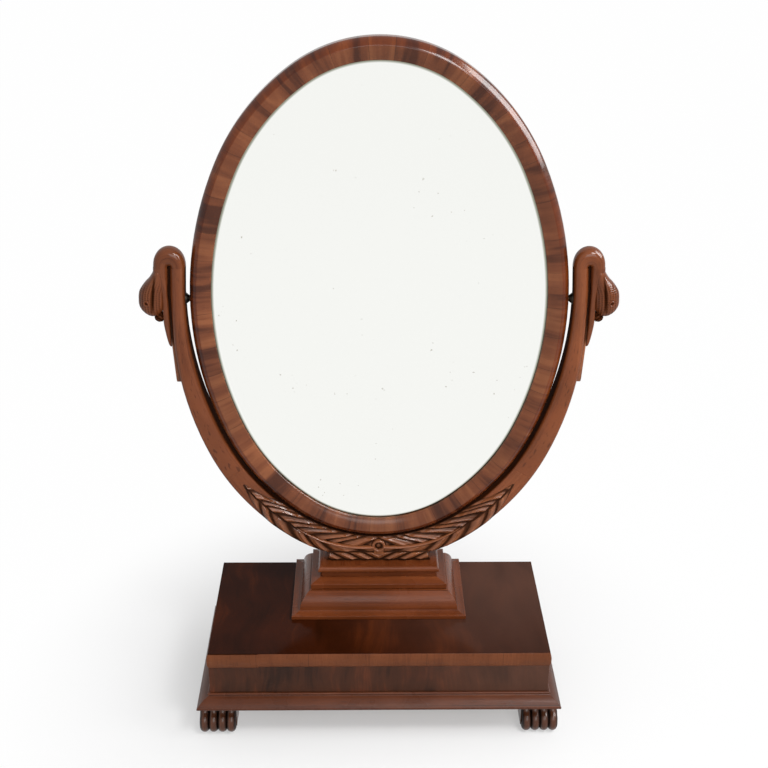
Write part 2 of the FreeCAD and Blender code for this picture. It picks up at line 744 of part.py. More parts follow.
def make_heads():
    """Curl of the neck, skull, beak and the knob at the root of the beak."""
    inner = slip_width / 2
    outer = inner + arm_width
    half = neck_half_thickness
    side = curl_round
    corner = side * (1 - math.cos(math.pi / 4))

    def at(reach, depth):
        return V(slot_x - reach, pivot_y + depth, slot_z)

    outline = [at(inner + side, -half), at(outer - side, -half), (at(outer - corner, -half + corner),),
               at(outer, -half + side), at(outer, half - side), (at(outer - corner, half - corner),),
               at(outer - side, half), at(inner + side, half), (at(inner + corner, half - corner),),
               at(inner, half - side), at(inner, -half + side), (at(inner + corner, -half + corner),)]
    curl = face_of(outline).revolve(V(slot_x, 0, slot_z), BACKWARD, 180)

    root = slip_outer + slip_clearance
    limb = slot_x + outer - slip_clearance - root
    swell = skull_reach - limb
    thickening = skull_half_thickness - half
    skull = Part.makeLoft([ellipse_section(root, root + limb + outer_share * swell,
                                           half + thick_share * thickening, slot_z - share * skull_length)
                           for share, outer_share, thick_share in skull_sections], True)
    beak_side = root + beak_relief
    beak_start = slot_z - beak_root_drop
    beak_end = slot_z - beak_tip_drop
    beak = Part.makeLoft([ellipse_section(beak_side, root + beak_root, beak_root_half_thickness, beak_start),
                          ellipse_section(beak_side, root + beak_middle, beak_middle_half_thickness,
                                          (beak_start + beak_end) / 2),
                          ellipse_section(beak_side, beak_side + beak_tip, beak_tip, beak_end)], True)
    knob = Part.makeSphere(knob_radius, V(root + beak_root, pivot_y, slot_z - knob_drop))
    on_both_sides("swan_head", curl.fuse([skull, beak, knob]).removeSplitter())

    dowels = []
    length = head_dowel_in_neck + head_dowel_in_curl
    for sign, side in ((1, "_right"), (-1, "_left")):
        seat = V(sign * (slot_x - (inner + outer) / 2), pivot_y, slot_z - head_dowel_in_neck)
        dowels.append(peg(head_dowel_radius, length, seat, UPWARD))
        hole = peg(head_dowel_radius + glue_gap, length, seat, UPWARD)
        drill("swan_head" + side, [hole])
        drill("yoke_arm" + side, [hole])
    parts["head_dowels"] = Part.makeCompound(dowels)


# Carving
def leaf(base, direction, length, width, relief):
    """Leaf-shaped prism standing on the face of the yoke."""
    across = V(-direction.z, 0, direction.x)
    tip = base + direction * length
    middle = base + direction * (leaf_belly_share * length)
    outline = [base, (middle + across * (width / 2),), tip, (middle - across * (width / 2),)]
    return solid_of(outline, V(0, -relief, 0))


def spray_point(turn):
    """Middle of the crescent at a turn, on the face of the yoke."""
    inner = frame_oval.point(turn, swing_gap)
    outer = yoke_oval.point(turn)
    middle = (inner + outer) / 2
    return V(middle.x, yoke_front, middle.z)


def make_carving():
    """Leaf sprays along the crescent, leaf ends over the foot block, and the ring between them."""
    step = (spray_end_turn - spray_start_turn) / leaf_count
    first = spray_point(spray_start_turn)
    mid = spray_point((spray_start_turn + spray_end_turn) / 2)
    last = spray_point(spray_end_turn)
    side = outward((spray_start_turn + spray_end_turn) / 2) * (midrib_width / 2)
    edge = [first + side, (mid + side,), last, (mid - side,), first - side]
    shapes = []
    slant = math.radians(leaf_angle)
    for index in range(leaf_count):
        turn = spray_start_turn + (index + 0.5) * step
        share = 1 - (1 - leaf_tip_share) * index / leaf_count
        along = onward(turn) * -1
        base = spray_point(turn)
        for sign in (-1, 1):
            if sign > 0 and base.x < yoke_foot_half_width:
                continue
            direction = along * math.cos(slant) + outward(turn) * (sign * math.sin(slant))
            shapes.append(leaf(base, direction, share * leaf_length, share * leaf_width, lobe_relief))
    midrib = solid_of(edge, V(0, -leaf_relief, 0))
    on_both_sides("leaf_spray", midrib.fuse(shapes).removeSplitter())

    fan = []
    slant = math.radians(fan_angle)
    spacing = (yoke_foot_half_width - yoke_foot_taper - strap_half_width - fan_leaf_length) / fan_leaf_count
    for index in range(fan_leaf_count):
        base = V(strap_half_width + index * spacing, yoke_front, cap_top + fan_rise)
        direction = V(math.cos(slant), 0, -math.sin(slant))
        fan.append(leaf(base, direction, fan_leaf_length, fan_leaf_width, fan_relief))
    on_both_sides("leaf_fan", fan[0].fuse(fan[1:]).removeSplitter())

    ring_z = cap_top + ring_above_cap
    seat = V(0, yoke_front, ring_z)
    ring = peg(ring_radius, leaf_relief, seat, -BACKWARD)
    hollow = peg(ring_hole_radius, ring_hole_depth,
                 V(0, yoke_front - leaf_relief + ring_hole_depth, ring_z), -BACKWARD)
    strap_top = ring_z - ring_radius + strap_overlap
    strap = box(V(-strap_half_width, yoke_front - strap_relief, strap_top - strap_height),
                V(strap_half_width, yoke_front, strap_top))
    parts["ring_boss"] = ring.fuse(strap).cut(hollow)


def main():
    """Make every piece, and write each to its own file."""
    make_base()
    make_base_moulding()
    make_feet()
    make_plinth()
    make_frame()
    make_pivots()
    make_yoke()
    make_slips()
    make_heads()
    make_carving()
    swinging = ("frame_", "mirror_", "backboard", "glass_", "pivot_bush")
    os.makedirs("parts", exist_ok=True)
    for name in sorted(parts):
        shape = parts[name]
        if name.startswith(swinging):
            shape = leaning(shape)
        shape.exportStep("parts/" + name + ".step")


main()
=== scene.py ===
import json
import logging
import math
from dataclasses import dataclass
from enum import Enum
from math import cos, hypot, pi, radians, sin
from typing import Callable, Sequence

import bmesh
import bpy
from mathutils import Matrix, Vector


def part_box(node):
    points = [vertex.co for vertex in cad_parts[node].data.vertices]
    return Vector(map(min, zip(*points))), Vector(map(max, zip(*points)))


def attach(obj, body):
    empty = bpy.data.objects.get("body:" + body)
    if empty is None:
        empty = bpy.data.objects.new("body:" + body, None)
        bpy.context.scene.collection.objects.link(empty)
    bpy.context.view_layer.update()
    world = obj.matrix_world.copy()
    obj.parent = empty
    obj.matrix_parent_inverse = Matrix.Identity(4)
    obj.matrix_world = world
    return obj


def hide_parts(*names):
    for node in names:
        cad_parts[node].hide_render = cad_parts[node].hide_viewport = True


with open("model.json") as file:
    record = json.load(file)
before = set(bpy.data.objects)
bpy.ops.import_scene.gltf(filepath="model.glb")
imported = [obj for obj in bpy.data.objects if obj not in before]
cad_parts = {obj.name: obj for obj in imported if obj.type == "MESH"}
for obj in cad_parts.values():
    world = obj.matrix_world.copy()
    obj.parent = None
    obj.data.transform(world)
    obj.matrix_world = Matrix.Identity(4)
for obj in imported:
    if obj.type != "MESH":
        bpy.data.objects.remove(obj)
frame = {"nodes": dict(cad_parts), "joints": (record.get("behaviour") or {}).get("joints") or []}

# Dressing table mirror: an oval swing glass between swan-head arms, on a moulded plinth and a
# veneered box base with reeded scroll feet. Metres, front towards -Y, +Z up.

LOG = logging.getLogger("dressing_mirror")
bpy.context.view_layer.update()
GRAIN_MAP = "Grain"
# Per-point shade map on each mesh: 1 on open faces, lower where shade is painted into the colour
PAINTED_SHADE_MAP = "PaintedShade"
QUARTER_RISE = 0.29  # of a quarter round over its chord, as a share of its radius

Pair = tuple[float, float]
Colour = tuple[float, float, float, float]
Grain = Callable[[int, int], Pair]
# Painted shade factor at a row and column of a net
Height = Callable[[int, int], float]
Rows = Sequence[Sequence[Vector]]
Socket = bpy.types.NodeSocket

WHITE: Colour = (1.0, 1.0, 1.0, 1.0)


class Body(Enum):
    """Bodies that the pieces ride on."""

    STAND = "stand"
    MIRROR = "mirror"


class Finish(Enum):
    """Finishes: the record's slot, then the piece that the finish is mixed for."""

    CROSSBAND = "crossbanded_mahogany.frame"
    LIPPING = "crossbanded_mahogany.lipping"
    FLAME = "flame_mahogany.top"
    FRIEZE = "flame_mahogany.frieze"
    CARVED = "carved_mahogany.leaves"
    FOOT = "carved_mahogany.foot"
    POLISHED = "polished_mahogany.plinth"
    ARM = "polished_mahogany.arms"
    MOULDING = "polished_mahogany.moulding"
    PINE = "pine.boards"
    BEECH = "beech_dowel.dowels"
    IRON = "dark_iron.pins"
    BRASS = "brass_bush.bushes"
    STEEL = "steel_screw.screws"
    GLASS = "silvered_glass.plate"

    @property
    def slot(self) -> str:
        """Slot of the record."""
        return self.value.split(".")[0]


class Side(Enum):
    """Sides of a mitred border."""

    FRONT = "front"
    BACK = "back"
    LEFT = "left"
    RIGHT = "right"


class Axis(Enum):
    """Axis that the grain of a board follows."""

    X = 0
    Y = 1
    Z = 2


def srgb(*screen: int) -> Colour:
    """Colour as a shader takes it, from its red, green and blue on a screen, 0 to 255."""
    shares = [value / 255 for value in screen]
    return *(c / 12.92 if c <= 0.04045 else ((c + 0.055) / 1.055) ** 2.4 for c in shares), 1.0


# Finishes


class NodeSheet:
    """Short forms for wiring the nodes of one material, or of the world."""

    def __init__(self, owner: bpy.types.Material | bpy.types.World, bare: bool = False) -> None:
        """Open the nodes.

        Args:
            owner: What the nodes belong to.
            bare: Whether the nodes that it starts with go.
        """
        self.owner = owner
        owner.use_nodes = True
        self.tree = owner.node_tree
        if bare:
            self.tree.nodes.clear()

    def feed(self, socket: Socket, value: object) -> None:
        """Link a socket, or set its value.

        Args:
            socket: Input to feed.
            value: Output socket of another node, or a plain value.
        """
        if isinstance(value, Socket):
            self.tree.links.new(value, socket)
        else:
            socket.default_value = value

    def add(self, kind: str, inputs: dict, output: int | str = 0, **settings: object) -> Socket:
        """Add a node.

        Args:
            kind: Type of the node.
            inputs: What to feed to its inputs, by name or index.
            output: Which output to give.
            **settings: Properties of the node.

        Returns:
            The output socket.
        """
        node = self.tree.nodes.new(kind)
        for name, value in settings.items():
            setattr(node, name, value)
        for key, value in inputs.items():
            self.feed(node.inputs[key], value)
        return node.outputs[output]

    def surface(self, inputs: dict) -> bpy.types.Material:
        """Feed the shader that the material starts with.

        Args:
            inputs: What to feed to it, by name.

        Returns:
            The finished material.
        """
        shader = self.tree.nodes["Principled BSDF"]
        for name, value in inputs.items():
            self.feed(shader.inputs[name], value)
        return self.owner

    def maths(self, operation: str, first: object, second: object = 0.0) -> Socket:
        """Result of one sum, from values or sockets."""
        return self.add("ShaderNodeMath", {0: first, 1: second}, operation=operation)

    def noise(self, vector: Socket, repeats: float | Pair, shift: float = 0.0, detail: float = 2.0,
              distortion: float = 0.0) -> Socket:
        """Soft cloudy pattern from 0 to 1.

        Args:
            vector: Coordinates in metres.
            repeats: Repeats to the metre, or those along and across the grain.
            shift: Offset that makes this pattern differ from the others.
            detail: Finer octaves.
            distortion: How far the pattern swirls.

        Returns:
            The factor socket.
        """
        factors = (*repeats, 1.0) if isinstance(repeats, tuple) else (repeats,) * 3
        scaled = self.add("ShaderNodeVectorMath", {0: vector, 1: factors, 2: (shift,) * 3},
                          operation="MULTIPLY_ADD")
        inputs = {"Vector": scaled, "Scale": 1.0, "Detail": detail, "Distortion": distortion}
        return self.add("ShaderNodeTexNoise", inputs)

    def between(self, value: object, low: float, high: float, out_low: float = 0.0,
                out_high: float = 1.0) -> Socket:
        """Value eased from the range low to high to the range out_low to out_high."""
        inputs = {0: value, 1: low, 2: high, 3: out_low, 4: out_high}
        return self.add("ShaderNodeMapRange", inputs, interpolation_type="SMOOTHSTEP")

    def mix(self, share: object, first: object, second: object, blend: str = "MIX") -> Socket:
        """Mix of two colours, by the share of the second one and the way of blending."""
        inputs = {0: share, 6: first, 7: second}
        return self.add("ShaderNodeMix", inputs, 2, data_type="RGBA", blend_type=blend)

    def grain(self) -> Socket:
        """Grain coordinates of the mesh, in metres: along and across the grain."""
        return self.add("ShaderNodeUVMap", {}, uv_map=GRAIN_MAP)

    def place(self) -> Socket:
        """Place on the object, in metres."""
        return self.add("ShaderNodeTexCoord", {}, "Object")

    def bump(self, height: Socket, depth: float, strength: float, normal: Socket | None = None) -> Socket:
        """Surface relief.

        Args:
            height: Height pattern from 0 to 1.
            depth: Depth of the relief in metres.
            strength: Share of the relief that shows.
            normal: Relief that this one lies on.

        Returns:
            The normal socket.
        """
        inputs = {"Height": height, "Distance": depth, "Strength": strength}
        if normal is not None:
            inputs["Normal"] = normal
        return self.add("ShaderNodeBump", inputs)


@dataclass(frozen=True)
class Wood:
    """Polished or plain wood with pores, streaks and figure along its grain."""

    name: str
    dark: Colour
    middle: Colour
    light: Colour
    figure: Pair = (5.0, 60.0)  # repeats to the metre along and across the grain
    streaks: Pair = (14.0, 420.0)
    pores: Pair = (90.0, 2600.0)
    figure_share: float = 0.6  # figure against streaks
    contrast: float = 1.0  # spread of the tones
    swirl: float = 0.0  # how far the figure bends, in metres
    veneer_length: float = 0.0  # leaves of veneer across the grain, none for solid wood
    veneer_shift: float = 0.0  # how far their tones differ
    seam_dark: float = 0.5
    pore_dark: float = 0.4
    patch: Pair = (0.84, 1.12)  # darkest and lightest patches of old polish
    roughness: float = 0.3
    specular: float = 0.16
    coat: float = 0.0
    coat_roughness: float = 0.1
    wobble: float = 0.00010  # uneven polish, depth in metres
    painted_shade_dark: float = 0.0  # how dark the painted shade makes points low on the shade map
    hollows_rough: float = 0.0  # how dull they are
    painted_shade_tint: Colour | None = None  # what is left of each colour in the painted shade
    painted_haze: Colour | None = None  # painted reflection haze: the colour lightens to this near a place
    painted_haze_place: tuple[float, float, float] = (0.19, 0.09, 0.1)
    painted_haze_reach: Pair = (0.05, 0.30)
    painted_haze_share: float = 0.64
    patch_repeats: float = 16.0  # patches of old polish to the metre
    bend_repeats: float = 9.0  # bends of the figure to the metre
    wobble_repeats: float = 38.0
    pore_range: Pair = (0.58, 0.72)  # values of the noise between which a pore opens
    pore_depth: float = 0.00004
    pore_rough: float = 0.12
    seam_half: float = 0.00018  # half the width of a seam, in metres
    coat_fade: Pair = (0.22, 0.6)  # reliefs between which dull hollows gain their gloss

    def material(self) -> bpy.types.Material:
        """Wire the finish.

        Returns:
            The material.
        """
        sheet = NodeSheet(bpy.data.materials.new(self.name))
        grain, place = sheet.grain(), sheet.place()
        bent = self.bent_grain(sheet, grain, place)
        figure = sheet.noise(bent, self.figure, shift=1.7, detail=2.5, distortion=0.3)
        streaks = sheet.noise(bent, self.streaks, shift=5.3, detail=3.0)
        pores = sheet.between(sheet.noise(grain, self.pores, shift=8.9, detail=1.0), *self.pore_range)
        tone = sheet.maths("ADD", sheet.maths("MULTIPLY", figure, self.figure_share),
                           sheet.maths("MULTIPLY", streaks, 1 - self.figure_share))
        cloud = sheet.noise(place, self.patch_repeats, shift=12.4, detail=3.0)
        shade = sheet.maths("MULTIPLY", sheet.between(cloud, 0.3, 0.75, *self.patch),
                            sheet.between(pores, 0.0, 1.0, 1.0, 1 - self.pore_dark))
        if self.veneer_length:
            shift, seam = self.leaves(sheet, grain)
            tone = sheet.maths("ADD", tone, shift)
            seam = sheet.between(seam, 0.0, 1.0, 1.0, 1 - self.seam_dark)
            shade = sheet.maths("MULTIPLY", shade, seam)
        dullness = sheet.between(cloud, 0.3, 0.7, self.roughness - 0.05, self.roughness + 0.06)
        roughness = sheet.maths("ADD", sheet.maths("MULTIPLY", pores, self.pore_rough), dullness)
        coat = self.coat
        if self.painted_shade_dark:
            # Painted shade: the colour darkens where the shade map is low
            relief = sheet.add("ShaderNodeAttribute", {}, "Fac", attribute_name=PAINTED_SHADE_MAP)
            worn = sheet.between(relief, 0.05, 0.75, 1 - self.painted_shade_dark, 1.0)
            shade = sheet.maths("MULTIPLY", shade, worn)
            dust = sheet.between(relief, 0.0, 0.6, self.hollows_rough, 0.0)
            roughness = sheet.maths("ADD", roughness, dust)
            if self.hollows_rough:
                coat = sheet.between(relief, *self.coat_fade, 0.0, self.coat)
        colour = self.toned(sheet, tone, shade)
        if self.painted_shade_tint:
            # Painted shade is tinted as well as darkened
            tint = sheet.mix(sheet.between(relief, 0.0, 0.6), self.painted_shade_tint, WHITE)
            colour = sheet.mix(1.0, colour, tint, "MULTIPLY")
        if self.painted_haze:
            # Painted reflection: a hazy lighter patch stands in for a bright lamp mirrored in the polish
            ends = {0: place, 1: self.painted_haze_place}
            away = sheet.add("ShaderNodeVectorMath", ends, "Value", operation="DISTANCE")
            haze = sheet.between(away, *self.painted_haze_reach, self.painted_haze_share, 0.0)
            haze = sheet.maths("MULTIPLY", haze, sheet.between(figure, 0.25, 0.75, 0.65, 1.15))
            colour = sheet.mix(haze, colour, self.painted_haze)
        height = sheet.maths("SUBTRACT", sheet.maths("MULTIPLY", streaks, 0.3), pores)
        uneven = sheet.noise(place, self.wobble_repeats, shift=2.2, detail=1.0)
        normal = sheet.bump(height, self.pore_depth, 0.5, sheet.bump(uneven, self.wobble, 1.0))
        return sheet.surface({"Base Color": colour, "Roughness": roughness, "Normal": normal,
                              "Specular IOR Level": self.specular, "Coat Weight": coat,
                              "Coat Roughness": self.coat_roughness})

    def bent_grain(self, sheet: NodeSheet, grain: Socket,
                   place: Socket) -> Socket:
        """Grain coordinates with the bends of the figure.

        Args:
            sheet: Sheet of the material.
            grain: Straight grain coordinates.
            place: Place on the object.

        Returns:
            The bent coordinates.
        """
        if not self.swirl:
            return grain
        cloud = sheet.noise(place, self.bend_repeats, shift=3.1)
        bend = sheet.maths("MULTIPLY", sheet.maths("SUBTRACT", cloud, 0.5), 2 * self.swirl)
        push = sheet.add("ShaderNodeCombineXYZ", {0: 0.0, 1: bend, 2: 0.0})
        return sheet.add("ShaderNodeVectorMath", {0: grain, 1: push}, operation="ADD")

    def leaves(self, sheet: NodeSheet,
               grain: Socket) -> tuple[Socket, Socket]:
        """Leaves of veneer laid side by side.

        Args:
            sheet: Sheet of the material.
            grain: Grain coordinates.

        Returns:
            The shift of tone of each leaf, and the seams between them.
        """
        across = sheet.add("ShaderNodeSeparateXYZ", {0: grain}, 1)
        leaf = {"W": across, "Scale": 1 / self.veneer_length}
        cells = sheet.add("ShaderNodeTexVoronoi", leaf, "Color", voronoi_dimensions="1D")
        tint = sheet.add("ShaderNodeSeparateColor", {0: cells})
        shift = sheet.maths("MULTIPLY", sheet.maths("SUBTRACT", tint, 0.5), self.veneer_shift)
        edges = sheet.add("ShaderNodeTexVoronoi", leaf, "Distance", voronoi_dimensions="1D",
                          feature="DISTANCE_TO_EDGE")
        seam_half = self.seam_half / self.veneer_length
        return shift, sheet.between(edges, seam_half, 2.5 * seam_half, 1.0, 0.0)

    def toned(self, sheet: NodeSheet, tone: Socket,
              shade: Socket) -> Socket:
        """Colour of the wood.

        Args:
            sheet: Sheet of the material.
            tone: Tone, about a half where it is middling.
            shade: Factor that darkens it.

        Returns:
            The colour socket.
        """
        reach = 0.2 / self.contrast
        low = sheet.mix(sheet.between(tone, 0.5 - reach, 0.5), self.dark, self.middle)
        colour = sheet.mix(sheet.between(tone, 0.5, 0.5 + 1.1 * reach), low, self.light)
        grey = sheet.add("ShaderNodeCombineColor", {0: shade, 1: shade, 2: shade})
        return sheet.mix(1.0, colour, grey, "MULTIPLY")


@dataclass(frozen=True)
class Metal:
    """Metal with tarnish in patches."""

    name: str
    bright: Colour
    tarnished: Colour
    roughness: float

    def material(self) -> bpy.types.Material:
        """Wire the finish.

        Returns:
            The material.
        """
        sheet = NodeSheet(bpy.data.materials.new(self.name))
        place = sheet.place()
        patches = sheet.noise(place, 260.0, detail=4.0)
        grit = sheet.noise(place, 1900.0)
        colour = sheet.mix(sheet.between(patches, 0.35, 0.65), self.bright, self.tarnished)
        roughness = sheet.between(patches, 0.3, 0.7, self.roughness - 0.1, self.roughness + 0.15)
        return sheet.surface({"Base Color": colour, "Roughness": roughness, "Metallic": 1.0,
                              "Normal": sheet.bump(grit, 0.00004, 0.6)})


@dataclass(frozen=True)
class Silvering:
    """Old silvered plate: clear in the middle, grey-green at the rim from tarnish and a painted shade and
    reflection of the frame's lip, a few age spots.
    """

    name: str = "silvered_plate"
    silver: Colour = (0.915, 0.922, 0.89, 1.0)
    # tarnished edge of the silvering, with painted shade and reflection of the frame's lip
    rim: Colour = (0.30, 0.31, 0.24, 1.0)
    spot: Colour = (0.55, 0.54, 0.48, 1.0)
    rim_width: float = 0.0034
    roughness: float = 0.025

    def material(self) -> bpy.types.Material:
        """Wire the finish.

        Returns:
            The material.
        """
        sheet = NodeSheet(bpy.data.materials.new(self.name))
        place = sheet.place()
        rim_distance = sheet.add("ShaderNodeSeparateXYZ", {0: sheet.grain()})
        edge = sheet.between(rim_distance, 0.2 * self.rim_width, self.rim_width, 1.0, 0.0)
        fleck = sheet.between(sheet.noise(place, 210.0, shift=4.4, detail=1.5), 0.735, 0.77)
        field = sheet.noise(place, 14.0, shift=9.2)
        spots = sheet.maths("MULTIPLY", fleck, sheet.between(field, 0.5, 0.6))
        colour = sheet.mix(edge, sheet.mix(spots, self.silver, self.spot), self.rim)
        roughness = sheet.maths("ADD", sheet.maths("MULTIPLY", spots, 0.3),
                                sheet.between(field, 0.3, 0.7, self.roughness, 1.6 * self.roughness))
        return sheet.surface({"Base Color": colour, "Roughness": roughness, "Metallic": 1.0})


class Finishes:
    """Every finish of the mirror, made once."""

    def __init__(self) -> None:
        """Make the materials, by finish."""
        # painted_shade_dark and painted_shade_tint paint shade into the colour; painted_haze paints a lighter
        # reflection haze
        mixed = {
            Finish.CROSSBAND: Wood(
                "crossband_veneer", srgb(66, 31, 15), srgb(99, 53, 30), srgb(120, 70, 42),
                figure=(9.0, 60.0), streaks=(22.0, 260.0), figure_share=0.8, contrast=1.2, swirl=0.006,
                veneer_length=0.038, veneer_shift=0.18, pore_dark=0.25, roughness=0.25, specular=0.04,
                coat=0.45, coat_roughness=0.16, painted_shade_dark=0.16, painted_shade_tint=(0.94, 0.66, 0.36, 1.0)),
            Finish.LIPPING: Wood(
                "lipping_veneer", srgb(76, 38, 18), srgb(102, 55, 29), srgb(122, 69, 39),
                figure=(8.0, 60.0), streaks=(25.0, 480.0), contrast=0.55, swirl=0.003,
                veneer_length=0.075, veneer_shift=0.08, roughness=0.36),
            Finish.FLAME: Wood(
                "flame_veneer", srgb(31, 11, 3), srgb(46, 17, 5), srgb(84, 36, 10),
                figure=(7.0, 13.0), streaks=(14.0, 160.0), figure_share=0.82, contrast=0.95, swirl=0.035,
                pore_dark=0.2, roughness=0.1, specular=0.035, wobble=0.00003,
                painted_haze=srgb(80, 54, 44), painted_haze_share=0.72),
            Finish.FRIEZE: Wood(
                "frieze_veneer", srgb(40, 21, 12), srgb(62, 33, 19), srgb(88, 44, 24),
                figure=(14.0, 30.0), streaks=(20.0, 260.0), figure_share=0.7, contrast=1.2, swirl=0.02,
                pore_dark=0.25, roughness=0.36, painted_haze=srgb(80, 52, 40), painted_haze_place=(0.19, -0.1, 0.08),
                painted_haze_reach=(0.02, 0.17)),
            Finish.POLISHED: Wood(
                "straight_mahogany", srgb(79, 35, 14), srgb(98, 48, 22), srgb(116, 62, 33),
                figure=(4.0, 90.0), streaks=(12.0, 520.0), contrast=0.9, swirl=0.003, roughness=0.24,
                specular=0.15, painted_shade_dark=0.8),
            Finish.ARM: Wood(
                "arm_mahogany", srgb(89, 42, 18), srgb(113, 60, 32), srgb(128, 73, 43),
                figure=(4.0, 90.0), streaks=(12.0, 480.0), contrast=0.8, swirl=0.004, roughness=0.27,
                specular=0.0, coat=0.46, coat_roughness=0.12, painted_shade_dark=0.9, hollows_rough=0.25),
            Finish.MOULDING: Wood(
                "moulding_mahogany", srgb(62, 28, 13), srgb(80, 40, 21), srgb(94, 51, 29),
                figure=(4.0, 90.0), streaks=(12.0, 520.0), contrast=0.8, swirl=0.003, specular=0.2,
                painted_shade_dark=0.75),
            Finish.CARVED: Wood(
                "carved_wood", srgb(92, 50, 27), srgb(126, 74, 45), srgb(148, 92, 60),
                figure=(8.0, 110.0), streaks=(20.0, 600.0), swirl=0.004, roughness=0.25, specular=0.05,
                coat=0.5, coat_roughness=0.12, painted_shade_dark=0.84, hollows_rough=0.25),
            Finish.FOOT: Wood(
                "carved_foot", srgb(50, 27, 15), srgb(76, 42, 25), srgb(94, 53, 32),
                figure=(8.0, 110.0), streaks=(20.0, 600.0), roughness=0.25, specular=0.2, coat=0.2,
                coat_roughness=0.06, painted_shade_dark=0.9, hollows_rough=0.25),
            Finish.PINE: Wood(
                "stained_pine", srgb(92, 58, 32), srgb(136, 94, 56), srgb(164, 122, 78),
                figure=(2.5, 70.0), streaks=(9.0, 300.0), swirl=0.006, pore_dark=0.2, roughness=0.62),
            Finish.BEECH: Wood(
                "beech", srgb(150, 108, 72), srgb(178, 136, 96), srgb(196, 158, 118),
                figure=(6.0, 120.0), pore_dark=0.25, roughness=0.55),
            Finish.IRON: Metal("blackened_iron", (0.02, 0.018, 0.016, 1.0), (0.05, 0.04, 0.03, 1.0), 0.45),
            Finish.BRASS: Metal("dull_brass", (0.55, 0.38, 0.14, 1.0), (0.30, 0.20, 0.08, 1.0), 0.38),
            Finish.STEEL: Metal("tarnished_steel", (0.42, 0.39, 0.34, 1.0), (0.16, 0.13, 0.10, 1.0), 0.42),
            Finish.GLASS: Silvering()}
        self.materials = {finish: maker.material() for finish, maker in mixed.items()}

    def dress(self, piece: bpy.types.Object, finish: Finish) -> None:
        """Give a piece its finish."""
        piece.data.materials.clear()
        piece.data.materials.append(self.materials[finish])


# Lines and sections


def bow(start: Pair, end: Pair, rise: float, steps: int = 8) -> list[Pair]:
    """Points of an arc after its start, rising to the left of the way.

    Args:
        start: First point.
        end: Last point.
        rise: Height of the arc over its chord.
        steps: How many points.

    Returns:
        The points after the start.
    """
    run, climb = end[0] - start[0], end[1] - start[1]
    chord = hypot(run, climb)
    half_turn = 2 * math.atan(2 * rise / chord)
    radius = chord / (2 * sin(half_turn))
    along, left = (run / chord, climb / chord), (-climb / chord, run / chord)
    drop = radius * cos(half_turn)
    points = []
    for step in range(1, steps + 1):
        turn = half_turn * (2 * step / steps - 1)
        side, lift = radius * sin(turn), radius * cos(turn) - drop
        points.append(((start[0] + end[0]) / 2 + along[0] * side + left[0] * lift,
                       (start[1] + end[1]) / 2 + along[1] * side + left[1] * lift))
    return points


def soften(outline: Sequence[Pair], radius: float, steps: int = 3, sharpest: float = 25.0) -> list[Pair]:
    """Closed outline with its corners worn round.

    Args:
        outline: Corners in order.
        radius: How far from a corner the round starts.
        steps: Points of each round beyond its first.
        sharpest: Corners that turn less than this many degrees stay.

    Returns:
        The outline with rounds.
    """
    softened = []
    count = len(outline)
    for index, corner in enumerate(outline):
        here = Vector(corner)
        before = Vector(outline[index - 1]) - here
        after = Vector(outline[(index + 1) % count]) - here
        if math.degrees(pi - before.angle(after)) < sharpest:
            softened.append(corner)
            continue
        start = here + before.normalized() * min(radius, before.length / 2.5)
        end = here + after.normalized() * min(radius, after.length / 2.5)
        for step in range(steps + 1):
            share = step / steps
            point = start * (1 - share) ** 2 + here * (2 * share * (1 - share)) + end * share ** 2
            softened.append((point.x, point.y))
    return softened


def finely(outline: Sequence[Pair], step: float = 0.0012) -> list[Pair]:
    """Closed outline with its long stretches divided.

    Args:
        outline: Points in order.
        step: Longest stretch that stays.

    Returns:
        The divided outline.
    """
    divided = []
    for index, (x, y) in enumerate(outline):
        end_x, end_y = outline[(index + 1) % len(outline)]
        parts = max(1, math.ceil(hypot(end_x - x, end_y - y) / step))
        divided += [(x + (end_x - x) * part / parts, y + (end_y - y) * part / parts) for part in range(parts)]
    return divided


def rounded_box(width: float, height: float, radius: float, steps: int = 5) -> list[Pair]:
    """Rectangle about the origin with round corners, always as many points.

    Args:
        width: Full width.
        height: Full height.
        radius: Corner radius.
        steps: Points of each corner beyond its first.

    Returns:
        The outline, anticlockwise from the lower right corner.
    """
    points = []
    for quarter, (sign_x, sign_y) in enumerate(((1, -1), (1, 1), (-1, 1), (-1, -1))):
        for step in range(steps + 1):
            turn = radians(90 * (quarter - 1) + 90 * step / steps)
            points.append((sign_x * (width / 2 - radius) + radius * cos(turn),
                           sign_y * (height / 2 - radius) + radius * sin(turn)))
    return points


def marks(points: Sequence, closed: bool = True) -> list[float]:
    """Distance travelled at each point of a line.

    Args:
        points: Points in order.
        closed: Whether the line comes back to its start.

    Returns:
        One distance for each point, and one more for the closing stretch.
    """
    line = [Vector(point) for point in points]
    if closed:
        line.append(line[0])
    travelled = [0.0]
    for here, there in zip(line, line[1:]):
        travelled.append(travelled[-1] + (there - here).length)
    return travelled


def whole_turn(count: int) -> list[float]:
    """Angles of evenly spaced points round a circle, in radians."""
    return [2 * pi * step / count for step in range(count)]


def full(share: float, power: float = 0.8) -> float:
    """Share of a circle's reach made fuller, so that the circle bulges at its diagonals."""
    return math.copysign(abs(share) ** power, share)


def smooth_through(stations: Sequence[Sequence[float]], share: float) -> list[float]:
    """Values on a smooth curve through stations.

    Args:
        stations: Rows of values, the first of each being its place.
        share: Way along the stations, from 0 to 1.

    Returns:
        One value for each column.
    """
    way = share * (len(stations) - 1)
    index = min(int(way), len(stations) - 2)
    t = way - index
    before, first = stations[max(index - 1, 0)], stations[index]
    second, after = stations[index + 1], stations[min(index + 2, len(stations) - 1)]
    values = []
    for a, b, c, d in zip(before, first, second, after):
        slope, bend, twist = (c - a) / 2, a - 2.5 * b + 2 * c - d / 2, 1.5 * (b - c) + (d - a) / 2
        values.append(b + t * (slope + t * (bend + t * twist)))
    return values


